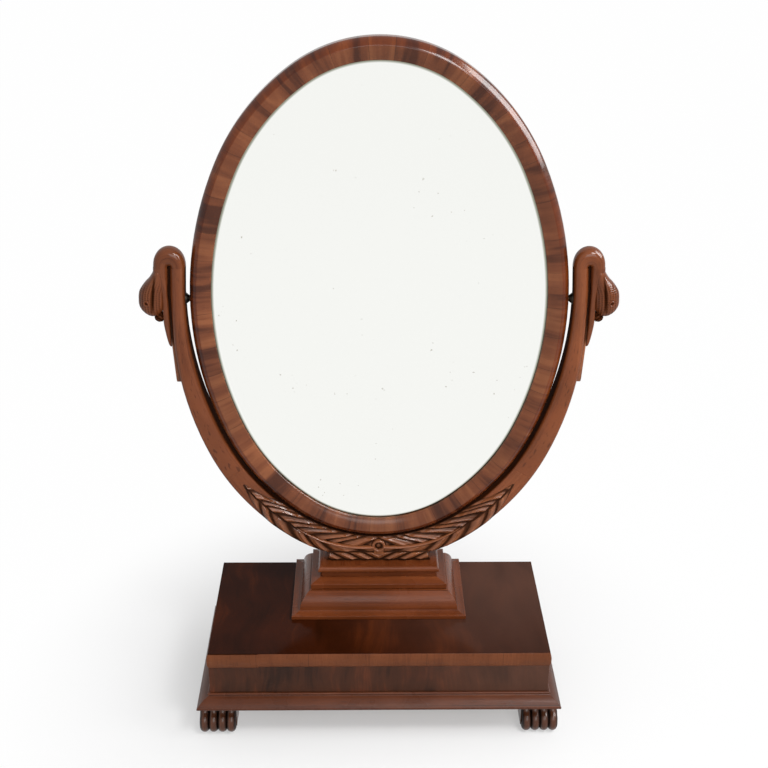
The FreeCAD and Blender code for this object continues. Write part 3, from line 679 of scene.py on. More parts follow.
@dataclass
class Oval:
    """Oval struck with three radii to each quarter, about a centre."""

    half_width: float
    half_height: float
    centre_z: float
    crown_turn: float = 36.0
    side_turn: float = 66.0

    names = ("top", "upper_right", "side_right", "lower_right",
             "bottom", "lower_left", "side_left", "upper_left")

    def __post_init__(self) -> None:
        """Find the centres and radii of the eight arcs."""
        a, b = self.crown_turn, self.side_turn
        middle = radians((a + b) / 2)
        support = hypot(self.half_width * sin(middle), self.half_height * cos(middle))
        shoulder = (self.half_width * self.half_height) ** 2 / support ** 3
        sine1, cosine1 = sin(radians(a)), cos(radians(a))
        sine2, cosine2 = sin(radians(b)), cos(radians(b))
        across = self.half_width - shoulder * (sine2 - sine1)
        upright = self.half_height - shoulder * (cosine1 - cosine2)
        scale = sine1 * cosine2 - (1 - sine2) * (1 - cosine1)
        crown = (across * cosine2 - upright * (1 - sine2)) / scale
        side = (upright * sine1 - across * (1 - cosine1)) / scale
        crown_z = self.half_height - crown
        x, z = (crown - shoulder) * sine1, crown_z + (crown - shoulder) * cosine1
        side_x = self.half_width - side
        self.arcs = [(0, crown_z, crown, -a, a), (x, z, shoulder, a, b), (side_x, 0, side, b, 180 - b),
                     (x, -z, shoulder, 180 - b, 180 - a), (0, -crown_z, crown, 180 - a, 180 + a),
                     (-x, -z, shoulder, 180 + a, 180 + b), (-side_x, 0, side, 180 + b, 360 - b),
                     (-x, z, shoulder, 360 - b, 360 - a)]

    def point(self, turn: float, grow: float = 0.0, y: float = 0.0) -> Vector:
        """Point where the oval faces a turn.

        Args:
            turn: Degrees clockwise from the top.
            grow: Distance outside the oval.
            y: Depth of the point.

        Returns:
            The point.
        """
        turn = (turn + self.crown_turn) % 360 - self.crown_turn
        for x, z, radius, low, high in self.arcs:
            if low <= turn <= high:
                break
        angle = radians(turn)
        reach = radius + grow
        return Vector((x + reach * sin(angle), y, self.centre_z + z + reach * cos(angle)))


# Meshes


def placed(name: str, data: bpy.types.ID) -> bpy.types.Object:
    """Put a new object in the scene.

    Args:
        name: Name of the object.
        data: Its mesh, lamp or lens.

    Returns:
        The object.
    """
    made = bpy.data.objects.new(name, data)
    bpy.context.scene.collection.objects.link(made)
    return made


class MeshDraft:
    """Faces of one piece with their grain, gathered before it becomes a mesh."""

    def __init__(self, seed: str) -> None:
        """Start an empty draft.

        Args:
            seed: Words that give this piece its own stretch of grain.
        """
        self.points: list[Vector] = []
        self.faces: list[tuple[int, ...]] = []
        self.grain: list[Pair] = []
        self.relief: list[float] = []
        number = sum(place * ord(letter) for place, letter in enumerate(seed, 1))
        self.offset = (0.173 * (number % 61), 0.119 * (number % 83))

    def face(self, corners: Sequence[int], grain: Sequence[Pair]) -> None:
        """Add one face by its point numbers, with the grain coordinates of its corners."""
        self.faces.append(tuple(corners))
        self.grain.extend((u + self.offset[0], v + self.offset[1]) for u, v in grain)

    def grid(self, rows: Rows, grain: Grain, wrap_rows: bool = False,
             wrap_columns: bool = True, relief: Height | None = None) -> None:
        """Add a net of quads.

        Args:
            rows: Points, row by row.
            grain: Grain coordinates of a row and column, one past the last where it wraps.
            wrap_rows: Whether the last row joins the first.
            wrap_columns: Whether the last column joins the first.
            relief: Painted shade factor at a row and column, low where shade is painted, all 1 where left
                out.
        """
        base, count, width = len(self.points), len(rows), len(rows[0])
        for i, row in enumerate(rows):
            self.points.extend(row)
            self.relief.extend(relief(i, j) if relief else 1.0 for j in range(width))
        for i in range(count if wrap_rows else count - 1):
            for j in range(width if wrap_columns else width - 1):
                corners = ((i, j), (i + 1, j), (i + 1, j + 1), (i, j + 1))
                self.face([base + (a % count) * width + b % width for a, b in corners],
                          [grain(a, b) for a, b in corners])

    def cap(self, loop: Sequence[Vector], relief: Sequence[float] = (), axis: Axis | None = None) -> None:
        """Close a ring of points with a flat face.

        Args:
            loop: Points in order.
            relief: Painted shade factor at each point, all 1 where left out.
            axis: Axis that the grain follows, where the face is a side of a block.
        """
        base = len(self.points)
        self.points.extend(loop)
        self.relief.extend(relief or [1.0] * len(loop))
        spans = [max(p[a] for p in loop) - min(p[a] for p in loop) for a in range(3)]
        flat = spans.index(min(spans))
        first, second = [a for a in range(3) if a != flat]
        if axis is None:
            grain = [(p[second], p[first]) for p in loop]
        else:
            along, across = (second, first) if axis.value == second else (first, second)
            grain = [(p[along], p[across] + p[flat]) for p in loop]
        self.face(range(base, base + len(loop)), grain)

    def tube(self, rows: Rows, crossgrain: bool = False, start: float = 0.0,
             relief: Height | None = None) -> None:
        """Add a closed skin over sections, with both ends capped.

        Args:
            rows: Closed sections, one after another.
            crossgrain: Whether the grain runs round the sections.
            start: Distance travelled before the first section.
            relief: Painted shade factor at a row and column.
        """
        middles = [sum(row, Vector()) / len(row) for row in rows]
        travelled = [start + mark for mark in marks(middles, closed=False)]
        round_marks = marks(rows[len(rows) // 2])

        def grain(i: int, j: int) -> Pair:
            """Grain coordinates of a corner."""
            return (round_marks[j], travelled[i]) if crossgrain else (travelled[i], round_marks[j])

        self.grid(rows, grain, relief=relief)
        for end in (0, len(rows) - 1):
            self.cap(rows[end], [relief(end, j) for j in range(len(rows[end]))] if relief else ())

    def block(self, low: Vector, high: Vector, axis: Axis) -> None:
        """Add an upright block.

        Args:
            low: Lowest corner.
            high: Highest corner.
            axis: Axis that the grain follows.
        """
        corners = [Vector((x, y, z)) for z in (low.z, high.z) for y in (low.y, high.y)
                   for x in (low.x, high.x)]
        for loop in ((0, 1, 3, 2), (4, 5, 7, 6), (0, 1, 5, 4), (2, 3, 7, 6), (0, 2, 6, 4), (1, 3, 7, 5)):
            self.cap([corners[number] for number in loop], axis=axis)

    def move(self, matrix: Matrix) -> None:
        """Turn and shift every point gathered so far."""
        self.points = [matrix @ point for point in self.points]

    def mirrored(self) -> None:
        """Put every point on the other side of the middle."""
        self.points = [Vector((-point.x, point.y, point.z)) for point in self.points]


class Bench:
    """Turns drafts into dressed pieces that ride on their bodies."""

    def __init__(self, finishes: Finishes) -> None:
        """Keep the finishes at hand."""
        self.finishes = finishes

    def piece(self, draft: MeshDraft, name: str, finish: Finish, node: str, body: Body = Body.STAND,
              side: Side | None = None, wear: float = 0.0, sharp: float = 38.0) -> None:
        """Make a piece from a draft and dress it.

        Args:
            draft: Its faces and grain.
            name: Name of the piece.
            finish: Its finish.
            node: CAD node that it stands for.
            body: Body that it rides on.
            side: Side of a piece drafted on the right: one for the left is mirrored.
            wear: Width of the worn round on its edges, none where 0.
            sharp: Edges that turn more than this many degrees stay sharp.
        """
        if side is Side.LEFT:
            draft.mirrored()
        mesh = bpy.data.meshes.new(name)
        mesh.from_pydata([tuple(point) for point in draft.points], [], draft.faces)
        layer = mesh.uv_layers.new(name=GRAIN_MAP)
        layer.uv.foreach_set("vector", [value for pair in draft.grain for value in pair])
        # Each point's painted shade factor goes onto the mesh for the finishes to read
        attribute = mesh.attributes.new(PAINTED_SHADE_MAP, "FLOAT", "POINT")
        attribute.data.foreach_set("value", draft.relief)
        net = bmesh.new()
        net.from_mesh(mesh)
        bmesh.ops.remove_doubles(net, verts=net.verts, dist=1e-6)
        bmesh.ops.recalc_face_normals(net, faces=net.faces)
        net.to_mesh(mesh)
        net.free()
        mesh.shade_smooth()
        mesh.set_sharp_from_angle(angle=radians(sharp))
        made = placed(name, mesh)
        if wear:
            bevel = made.modifiers.new("worn_edges", "BEVEL")
            bevel.width = wear
            bevel.segments = 2
            bevel.limit_method = "ANGLE"
            bevel.angle_limit = radians(sharp)
            bevel.harden_normals = True
        self.finishes.dress(made, finish)
        finish.slot
        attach(made, body.value)
        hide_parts(node)
        LOG.info("%s: %d faces, %s, rides on %s", name, len(mesh.polygons), finish.value, body.value)


@dataclass
class Border:
    """Rectangle that mitred mouldings run round."""

    half_width: float
    front: float
    back: float
    mitred_back: bool = False
    # reach of the painted shade round each dark corner
    corner_shade_reach: float = 0.0012

    def run(self, draft: MeshDraft, side: Side, profile: Sequence[Pair], crossgrain: bool = False,
            cut: Pair | None = None, drop: float = 0.0, dark: Sequence[Pair] = ()) -> None:
        """Add the run of one side.

        Args:
            draft: Draft that takes it.
            side: Side of the border.
            profile: Closed section, as inset from the edge and level.
            crossgrain: Whether the grain runs up the section.
            cut: Ends of a shorter stretch of a front run, instead of the mitres.
            drop: How far the run sits low.
            dark: Corners of the section where shade is painted.
        """
        ends: list[list[Vector]] = [[], []]
        for inset, level in profile:
            z = level - drop
            reach = self.half_width - inset
            if side in (Side.FRONT, Side.BACK):
                y = self.front + inset if side is Side.FRONT else self.back - inset
                low, high = (-reach, reach) if cut is None else (max(cut[0], -reach), min(cut[1], reach))
                ends[0].append(Vector((low, y, z)))
                ends[1].append(Vector((high, y, z)))
            else:
                x = reach if side is Side.RIGHT else -reach
                ends[0].append(Vector((x, self.front + inset, z)))
                ends[1].append(Vector((x, self.back - (inset if self.mitred_back else 0.0), z)))
        axis = 0 if side in (Side.FRONT, Side.BACK) else 1
        round_marks = marks(profile)
        width = len(profile)

        def grain(i: int, j: int) -> Pair:
            """Grain coordinates of a corner."""
            along = ends[i][j % width][axis]
            return (round_marks[j], along) if crossgrain else (along, round_marks[j])

        def relief(i: int, j: int) -> float:
            """Painted shade factor at a corner of the net, lower near the dark corners."""
            inset, level = profile[j]
            near = min((hypot(inset - a, level - b) for a, b in dark), default=1.0)
            return min(1.0, near / self.corner_shade_reach)

        draft.grid(ends, grain, relief=relief)
        draft.cap(ends[0])
        draft.cap(ends[1])


# Sub-assemblies


@dataclass
class BoxBase:
    """Veneered box with its lipped top board and base moulding."""

    bench: Bench
    veneer: float = 0.0007  # laid over the lipping, and over the ends of the back board
    lip_swell: float = 0.0016
    lip_step: float = 0.0012  # left end of the lipping sits low
    lip_joint_left: float = -0.142
    lip_joint_right: float = 0.176
    nose_height: float = 0.004
    nose_round: float = 0.001
    slope_swell: float = 0.0009
    bead_radius: float = 0.0014
    edge_wear: float = 0.0005

    def build(self) -> None:
        """Make the boards, the lipping and the moulding."""
        self.boards()
        self.lipping()
        self.moulding()

    def boards(self) -> None:
        """Make the top board, the frieze and the bottom board."""
        back_low, back_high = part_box("frieze_back")
        cover = Vector((self.veneer, 0, 0))
        boards = (("frieze_front", Finish.FRIEZE, Axis.Z), ("bottom_board", Finish.PINE, Axis.X),
                  ("frieze_left", Finish.FRIEZE, Axis.Z), ("frieze_right", Finish.FRIEZE, Axis.Z))
        for name, finish, axis in boards:
            draft = MeshDraft(name)
            draft.block(*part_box(name), axis)
            if name == "frieze_left":
                draft.block(back_low, Vector((back_low.x + self.veneer, back_high.y, back_high.z)), axis)
            if name == "frieze_right":
                draft.block(Vector((back_high.x - self.veneer, back_low.y, back_low.z)), back_high, axis)
            self.bench.piece(draft, name + "_board", finish, name, wear=self.edge_wear)
        draft = MeshDraft("frieze_back")
        draft.block(back_low + cover, back_high - cover, Axis.X)
        self.bench.piece(draft, "frieze_back_board", Finish.PINE, "frieze_back", wear=self.edge_wear)
        low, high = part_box("base_top")
        lip_low, lip_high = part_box("top_edge_front")
        draft = MeshDraft("veneered top")
        draft.block(low, high - Vector((0, 0, self.veneer)), Axis.Y)
        edge = Vector((lip_high.x - self.lip_swell, lip_low.y + self.lip_swell, 0))
        draft.block(Vector((-edge.x, edge.y, high.z - self.veneer)), Vector((edge.x, high.y, high.z)), Axis.Y)
        self.bench.piece(draft, "base_top_board", Finish.FLAME, "base_top")

    def lipping(self) -> None:
        """Make the crossbanded edge of the top board."""
        low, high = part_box("top_edge_front")
        depth = high.y - low.y
        top = high.z - self.veneer
        foot, head = (self.lip_swell, low.z), (self.lip_swell, top)
        section = [(depth, low.z), foot, *bow(foot, head, self.lip_swell), (depth, top)]
        section = soften(section, self.edge_wear)
        border = Border(high.x, low.y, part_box("base_top")[1].y)
        draft = MeshDraft("lip front")
        stretches = ((-border.half_width, self.lip_joint_left, self.lip_step),
                     (self.lip_joint_left, self.lip_joint_right, 0.0),
                     (self.lip_joint_right, border.half_width, 0.0))
        for start, end, drop in stretches:
            border.run(draft, Side.FRONT, section, crossgrain=True, cut=(start, end), drop=drop)
        self.bench.piece(draft, "top_lipping_front", Finish.LIPPING, "top_edge_front")
        for side in (Side.LEFT, Side.RIGHT):
            draft = MeshDraft("lip " + side.value)
            border.run(draft, side, section, crossgrain=True)
            self.bench.piece(draft, "top_lipping_" + side.value, Finish.LIPPING, "top_edge_" + side.value)

    def moulding(self) -> None:
        """Make the base moulding with its nose, slope and bead."""
        low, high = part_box("base_moulding_front")
        depth = high.y - low.y
        bead_top = high.z
        slope_end = depth - 2 * self.bead_radius
        bead_foot = bead_top - 2 * self.bead_radius
        nose_foot, nose_top = (self.nose_round, low.z), (self.nose_round, low.z + self.nose_height)
        ledge = (nose_top[0] + self.nose_round, nose_top[1] + self.nose_round)
        slope = (slope_end, bead_foot - self.bead_radius)
        bead_start, bead_end = (depth - self.bead_radius, bead_foot), (depth - self.bead_radius, bead_top)
        section = [(depth, low.z), nose_foot, *bow(nose_foot, nose_top, self.nose_round), ledge,
                   *bow(ledge, slope, self.slope_swell), bead_start,
                   *bow(bead_start, bead_end, self.bead_radius), (depth, bead_top)]
        section = finely(section)
        # Painted shade in the corners at the bead and the ledge
        dark = [bead_start, (depth, bead_top), ledge]
        border = Border(high.x, low.y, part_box("base_moulding_left")[1].y)
        for side in (Side.FRONT, Side.LEFT, Side.RIGHT):
            draft = MeshDraft("moulding " + side.value)
            border.run(draft, side, section, dark=dark)
            self.bench.piece(draft, "foot_moulding_" + side.value, Finish.MOULDING,
                             "base_moulding_" + side.value)


@dataclass
class ScrollFeet:
    """Four reeded scroll feet."""

    bench: Bench
    reed_count: int = 4
    reed_radius: float = 0.0056
    scroll_radius: float = 0.0082
    scroll_turn: float = 60.0
    hollow_turn: float = 21.0
    flat: float = 0.0005
    block_depth: float = 0.030
    crown_relief: float = 0.8  # painted shade: the reeds are darker towards the grooves
    edge_wear: float = 0.0004
    scroll_steps: int = 18
    hollow_steps: int = 10
    round_points: int = 20
    disc_points: int = 28

    def build(self) -> None:
        """Make each foot from the box of its node."""
        for name in ("foot_front_left", "foot_front_right", "foot_back_left", "foot_back_right"):
            self.foot(name)

    def foot(self, name: str) -> None:
        """Make one foot.

        Args:
            name: Node that it stands for.
        """
        low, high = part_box(name)
        draft = MeshDraft(name)
        centre = Vector((0, high.y - self.block_depth, self.scroll_radius + self.reed_radius - self.flat))
        sine = sin(radians(self.scroll_turn))
        cosine = cos(radians(self.scroll_turn))
        rise = high.z - centre.z - self.scroll_radius * sine
        cove_radius = rise / (sine + sin(radians(self.hollow_turn)))
        reach = self.scroll_radius + cove_radius
        cove = centre + Vector((0, -reach * cosine, reach * sine))
        path = []
        for step in range(self.scroll_steps + 1):
            turn = radians(-90 + (90 + self.scroll_turn) * step / self.scroll_steps)
            path.append((centre + self.scroll_radius * Vector((0, -cos(turn), sin(turn))), turn))
        whole = self.scroll_turn + self.hollow_turn
        for step in range(1, self.hollow_steps + 1):
            turn = radians(-self.scroll_turn + whole * step / self.hollow_steps)
            path.append((cove + cove_radius * Vector((0, cos(turn), sin(turn))), -turn))
        pitch = (high.x - low.x - 2 * self.reed_radius) / (self.reed_count - 1)
        for index in range(self.reed_count):
            x = low.x + self.reed_radius + index * pitch
            rows = []
            for place, turn in path:
                away = Vector((0, -cos(turn), sin(turn)))
                ring = []
                for angle in whole_turn(self.round_points):
                    point = place + Vector((x + self.reed_radius * cos(angle), 0, 0))
                    point += away * (self.reed_radius * sin(angle))
                    point.z = min(max(point.z, low.z), high.z)
                    ring.append(point)
                rows.append(ring)
            draft.tube(rows, relief=self.reed_relief)
        neck = cove.y + cove_radius
        draft.block(Vector((low.x, neck, low.z)), high, Axis.Z)
        disc = []
        for x in (low.x + self.reed_radius / 2, high.x - self.reed_radius / 2):
            side = centre + Vector((x, 0, 0))
            disc.append([side + self.scroll_radius * Vector((0, cos(a), sin(a)))
                         for a in whole_turn(self.disc_points)])
        # the end discs of the scroll are painted fully in shade
        draft.tube(disc, relief=lambda i, j: 0.0)
        self.bench.piece(draft, name + "_scroll", Finish.FOOT, name, wear=self.edge_wear)

    def reed_relief(self, i: int, j: int) -> float:
        """Painted shade factor at a row and column of a reed, 0 in the grooves beside it."""
        return self.crown_relief * abs(sin(2 * pi * j / self.round_points)) ** 3


@dataclass
class Plinth:
    """Stepped plinth of mitred mouldings with its cap."""

    bench: Bench
    fillet: float = 0.005
    ledge_rise: float = 0.002
    ledge_inset: float = 0.0096
    ledge_hollow: float = 0.0005
    step_rise: float = 0.0115
    step_inset: float = 0.0032
    step_swell: float = 0.0007
    slope_inset: float = 0.021
    slope_swell: float = 0.0006
    tier_height: float = 0.0075
    quirk: float = 0.0013  # sunk line between the tiers
    shelf_inset: float = 0.011
    cap_round: float = 0.0045
    under_round: float = 0.0025
    edge_wear: float = 0.0006

    def build(self) -> None:
        """Make the two tiers, the core and the cap."""
        self.tier("lower", *self.lower_section())
        self.tier("upper", *self.upper_section())
        core = MeshDraft("core")
        core.block(*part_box("plinth_core"), Axis.X)
        self.bench.piece(core, "plinth_neck", Finish.POLISHED, "plinth_core", wear=self.edge_wear)
        self.cap()

    def lower_section(self) -> tuple[list[Pair], list[Pair]]:
        """Fillet, ledge, steep step and slope, as inset and level.

        Returns:
            The closed section and its corners painted with shade.
        """
        low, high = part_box("plinth_lower_front")
        depth = high.y - low.y
        foot, edge, top = (0.0, low.z), (0.0, low.z + self.fillet), (self.slope_inset, high.z)
        ledge = (self.ledge_inset, edge[1] + self.ledge_rise)
        step = (ledge[0] + self.step_inset, ledge[1] + self.step_rise)
        section = [(depth, low.z), foot, edge, *bow(edge, ledge, -self.ledge_hollow),
                   *bow(ledge, step, self.step_swell), *bow(step, top, self.slope_swell), (depth, high.z)]
        return finely(soften(section, self.edge_wear)), [foot, ledge, top]

    def upper_section(self) -> tuple[list[Pair], list[Pair]]:
        """Upright edge with a sloping shelf, as inset and level.

        Returns:
            The closed section and its corners painted with shade.
        """
        low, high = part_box("plinth_upper_front")
        depth = high.y - low.y
        quirk, top = (self.quirk, low.z + self.quirk / 2), (self.shelf_inset, high.z)
        section = [(depth, low.z), (self.quirk, low.z), (self.quirk, low.z + self.quirk),
                   (0.0, low.z + self.quirk), (0.0, low.z + self.tier_height), top, (depth, high.z)]
        return finely(soften(section, 0.8 * self.edge_wear), 0.0006), [quirk, top]

    def tier(self, name: str, section: Sequence[Pair], dark: Sequence[Pair]) -> None:
        """Make the four runs of one tier.

        Args:
            name: Which tier.
            section: Its closed section.
            dark: Corners of the section where shade is painted.
        """
        node = "plinth_" + name + "_"
        low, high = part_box(node + "front")
        border = Border(high.x, low.y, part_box(node + "back")[1].y, mitred_back=True)
        for side in Side:
            draft = MeshDraft(name + side.value)
            border.run(draft, side, section, dark=dark)
            self.bench.piece(draft, node + "run_" + side.value, Finish.POLISHED, node + side.value)

    def cap(self) -> None:
        """Make the cap with its round edges."""
        low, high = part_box("plinth_cap")
        under, edge = (self.under_round, low.z), (0.0, low.z + self.under_round)
        shoulder, flat = (0.0, high.z - self.cap_round), (self.cap_round, high.z)
        section = [under, *bow(under, edge, QUARTER_RISE * self.under_round, 5), shoulder,
                   *bow(shoulder, flat, QUARTER_RISE * self.cap_round)]
        rise = marks(section, closed=False)
        loops = []
        for inset, level in section:
            left, right = low.x + inset, high.x - inset
            front, back = low.y + inset, high.y - inset
            loops.append([Vector((left, front, level)), Vector((right, front, level)),
                          Vector((right, back, level)), Vector((left, back, level))])
        draft = MeshDraft("cap")
        for corner in range(4):
            strip = [[loop[corner], loop[(corner + 1) % 4]] for loop in loops]
            draft.grid(strip, lambda i, j, edge=strip, axis=corner % 2: (edge[i][j][axis], rise[i]),
                       wrap_columns=False)
        draft.cap(loops[0])
        draft.cap(loops[-1])
        self.bench.piece(draft, "plinth_top_cap", Finish.POLISHED, "plinth_cap")


@dataclass
class SwingGlass:
    """Oval cushion frame with its silvered glass, backboard and screws."""

    bench: Bench
    oval: Oval
    pivot: Vector
    lean: float = 1.5  # degrees, the top leans back
    width: float = 0.024
    crest_inset: float = 0.008
    crest_forward: float = 0.014
    shoulder_forward: float = 0.005
    shoulder_swell: float = 0.0012
    face_swell: float = 0.0006
    edge_round: float = 0.0012
    sight_forward: float = 0.0075
    arris: float = 0.0015
    lip: float = 0.0025
    rebate: float = 0.007
    back: float = 0.011
    back_round: float = 0.003
    glass_gap: float = 0.0004
    glass_thickness: float = 0.004
    glass_chamfer: float = 0.0005
    glass_rings: tuple[float, ...] = (0.0, 0.002, 0.004, 0.008, 0.02, 0.06)  # inside the frame
    board_inset: float = 0.006
    board_thickness: float = 0.006
    board_slope: float = 0.004  # width and height of its worn edge
    board_drop: float = 0.002
    screw_count: int = 10
    screw_inset: float = 0.0055
    screw_radius: float = 0.003
    screw_height: float = 0.0012
    slot_width: float = 0.0008
    slot_spin: float = 67.0  # degrees from one slot to the next
    screw_points: int = 24
    turn_step: float = 2.0

    def build(self) -> None:
        """Make the frame, the glass and the back."""
        self.leaning = (Matrix.Translation(self.pivot) @ Matrix.Rotation(radians(-self.lean), 4, "X")
                        @ Matrix.Translation(-self.pivot))
        self.frame_runs()
        self.glass()
        self.backboard()
        self.screws()

    def section(self) -> list[Pair]:
        """Cushion section, as inset from the outer edge and distance ahead of the pivot.

        Returns:
            The closed section.
        """
        shoulder, crest = (0.0, self.shoulder_forward), (self.crest_inset, self.crest_forward)
        arris = (self.width - self.arris, self.sight_forward + self.arris)
        rebate = self.width - self.rebate
        lip_back = self.sight_forward - self.lip
        back_start, back_end = (self.back_round, -self.back), (0.0, -self.back + self.back_round)
        section = [back_start, *bow(back_start, back_end, -QUARTER_RISE * self.back_round, 4), shoulder,
                   *bow(shoulder, crest, self.shoulder_swell, 6), *bow(crest, arris, self.face_swell, 6),
                   *bow(arris, (self.width, self.sight_forward), 0.0004, 4),
                   (self.width, lip_back), (rebate, lip_back), (rebate, -self.back)]
        return soften(section, self.edge_round, 4, 16.0)

    def polish(self, place: Pair) -> float:
        """Painted shade factor at a place of the section.

        Args:
            place: Inset and distance ahead of the pivot.

        Returns:
            1 on the open face, less on the outer shoulder, where a dark reflection is painted, and beside the
            glass, where shade is painted.
        """
        inset, forward = place
        if forward < self.sight_forward and inset > self.width - self.rebate:
            return 0.0
        return min(1.0, max(0.0, 6 * inset / self.crest_inset - 6))

    def frame_runs(self) -> None:
        """Make the eight runs of the frame, each over its node."""
        section = self.section()
        section_marks = marks(section)
        travelled = 0.0
        for name, (x, z, radius, low, high) in zip(Oval.names, self.oval.arcs):
            steps = max(4, round((high - low) / self.turn_step))
            rows, lengths = [], []
            for step in range(steps + 1):
                turn = radians(low + (high - low) * step / steps)
                rows.append([Vector((x + (radius - inset) * sin(turn), self.pivot.y - forward,
                                     self.oval.centre_z + z + (radius - inset) * cos(turn)))
                             for inset, forward in section])
                lengths.append(travelled + radius * (turn - radians(low)))
            travelled = lengths[-1]
            draft = MeshDraft("frame")
            # The frame's shade map: painted dark reflection on the shoulder, painted shade beside the glass
            draft.grid(rows, lambda i, j, s=lengths: (section_marks[j], s[i]),
                       relief=lambda i, j: self.polish(section[j]))
            draft.cap(rows[0])
            draft.cap(rows[-1])
            draft.move(self.leaning)
            self.bench.piece(draft, "cushion_" + name, Finish.CROSSBAND, "frame_" + name, Body.MIRROR)

    def rings(self, grows: Sequence[float], y: float) -> list[list[Vector]]:
        """Rings at one depth, each so far outside the oval."""
        turns = [self.turn_step * step for step in range(round(360 / self.turn_step))]
        return [[self.oval.point(turn, grow, y) for turn in turns] for grow in grows]

    def glass(self) -> None:
        """Make the silvered plate; its grain counts inwards from the edge of the frame."""
        draft = MeshDraft("")
        chamfer = self.glass_chamfer
        front = self.pivot.y - self.sight_forward + self.lip
        rear = front + self.glass_thickness
        edge = self.width - self.rebate + self.glass_gap
        insets = [edge + chamfer] + [self.width + step for step in self.glass_rings]
        distances = [inset - self.width for inset in insets]
        face = self.rings([-inset for inset in insets], front)
        sides = [self.rings([-edge], y)[0] for y in (front + chamfer, rear - chamfer)]
        back = self.rings([-edge - chamfer], rear)[0]
        draft.grid(face[::-1], lambda i, j: (distances[-1 - i], 0.01 * j))
        draft.grid([face[0], *sides, back], lambda i, j: (distances[0], 0.01 * j))
        draft.cap(face[-1])
        draft.cap(back)
        draft.move(self.leaning)
        self.bench.piece(draft, "silvered_plate", Finish.GLASS, "mirror_glass", Body.MIRROR, sharp=20.0)

    def backboard(self) -> None:
        """Make the planted backboard."""
        draft = MeshDraft("backboard")
        back = self.pivot.y + self.back
        outer, inner = self.rings([-self.board_inset, -self.board_inset - self.board_slope],
                                  back + self.board_thickness)
        front = self.rings([-self.board_inset], back)[0]
        for point in outer:
            point.y -= self.board_drop
        draft.grid([front, outer, inner], lambda i, j: (0.01 * j, 0.004 * i))
        draft.cap(front)
        draft.cap(inner)
        draft.move(self.leaning)
        self.bench.piece(draft, "back_panel", Finish.PINE, "backboard", Body.MIRROR)

    def screws(self) -> None:
        """Make the slotted screws of the backboard."""
        draft = MeshDraft("screws")
        face = self.pivot.y + self.back + self.board_thickness
        for index in range(self.screw_count):
            turn = (index + 0.5) * 360 / self.screw_count
            seat = self.oval.point(turn, -self.board_inset - self.screw_inset, face)
            slot_turn = radians(self.slot_spin * index)
            half_points = self.screw_points // 2
            for start in (slot_turn, slot_turn + pi):
                shift = self.spoke(start + pi / 2) * (self.slot_width / 2)
                turns = [start + pi * step / half_points for step in range(half_points + 1)]
                moon = [seat + (self.spoke(turn) * self.screw_radius + shift) * 0.9 for turn in turns]
                draft.tube([moon, [point + Vector((0, self.screw_height, 0)) for point in moon]])
            ring = [seat + self.spoke(a) * self.screw_radius for a in whole_turn(self.screw_points)]
            draft.tube([ring, [point + Vector((0, 0.4 * self.screw_height, 0)) for point in ring]])
        draft.move(self.leaning)
        self.bench.piece(draft, "back_screws", Finish.STEEL, "backboard_screws", Body.MIRROR)

    @staticmethod
    def spoke(angle: float) -> Vector:
        """Direction of an angle in the plane of the glass."""
        return Vector((cos(angle), 0, sin(angle)))


@dataclass
class YokeLines:
    """Edges of the yoke: crescent below, upright necks that lean in at the top."""

    oval: Oval  # outer edge of the frame
    gap: float  # from the frame to the inner edge
    outer: Oval  # outer edge of the crescent
    arm_width: float
    bend_z: float  # level from which the necks lean in
    top_z: float  # top of the necks
    lean: float
    half_thickness: float = 0.014
    neck_half: float = 0.0115  # half the thickness of the necks
    foot_half_width: float = 0.0642
    curl_drop: float = 0.0045  # the curls spring this far below the top of the necks
    plot_step: float = 0.1  # degrees between the plotted points of the crescent
    plot_rises: int = 40

    def __post_init__(self) -> None:
        """Plot the outer edge in fine steps, the necks with it."""
        self.spring_z = self.top_z - self.curl_drop
        self.inner_x = self.oval.half_width + self.gap
        rise = self.bend_z - self.outer.centre_z
        self.quarter = round(90 / self.plot_step)
        curve = [self.outer.point(90 + self.plot_step * step) for step in range(2 * self.quarter + 1)]
        levels = [self.outer.centre_z + rise * step / self.plot_rises
                  for step in range(1, self.plot_rises + 1)]
        self.plotted = curve + [Vector((sign * self.outer.half_width, 0, level))
                                for sign in (-1, 1) for level in levels]

    def shift(self, level: float) -> float:
        """How far the neck leans in at a level."""
        return self.lean * max(0.0, (level - self.bend_z) / (self.top_z - self.bend_z))

    def across(self, turn: float) -> tuple[Vector, Vector]:
        """Inner and outer edge, square across the crescent.

        Args:
            turn: Degrees clockwise from the top, from 90 to 270.

        Returns:
            The two points.
        """
        inner = self.oval.point(turn, self.gap)
        away = Vector((sin(radians(turn)), 0, cos(radians(turn))))
        return inner, max(self.plotted, key=lambda point: (point - inner).normalized().dot(away))

    def neck(self, level: float) -> tuple[Vector, Vector]:
        """Inner and outer edge of the right neck at a level."""
        inner = Vector((self.inner_x - self.shift(level), 0, level))
        return inner, inner + Vector((self.arm_width, 0, 0))

    def outer_x(self, level: float) -> float:
        """Outer edge on the right.

        Args:
            level: Height over the floor.

        Returns:
            Its distance from the middle.
        """
        if level >= self.outer.centre_z:
            return self.outer.half_width - self.shift(level)
        return min(self.plotted[:self.quarter + 1], key=lambda point: abs(point.z - level)).x


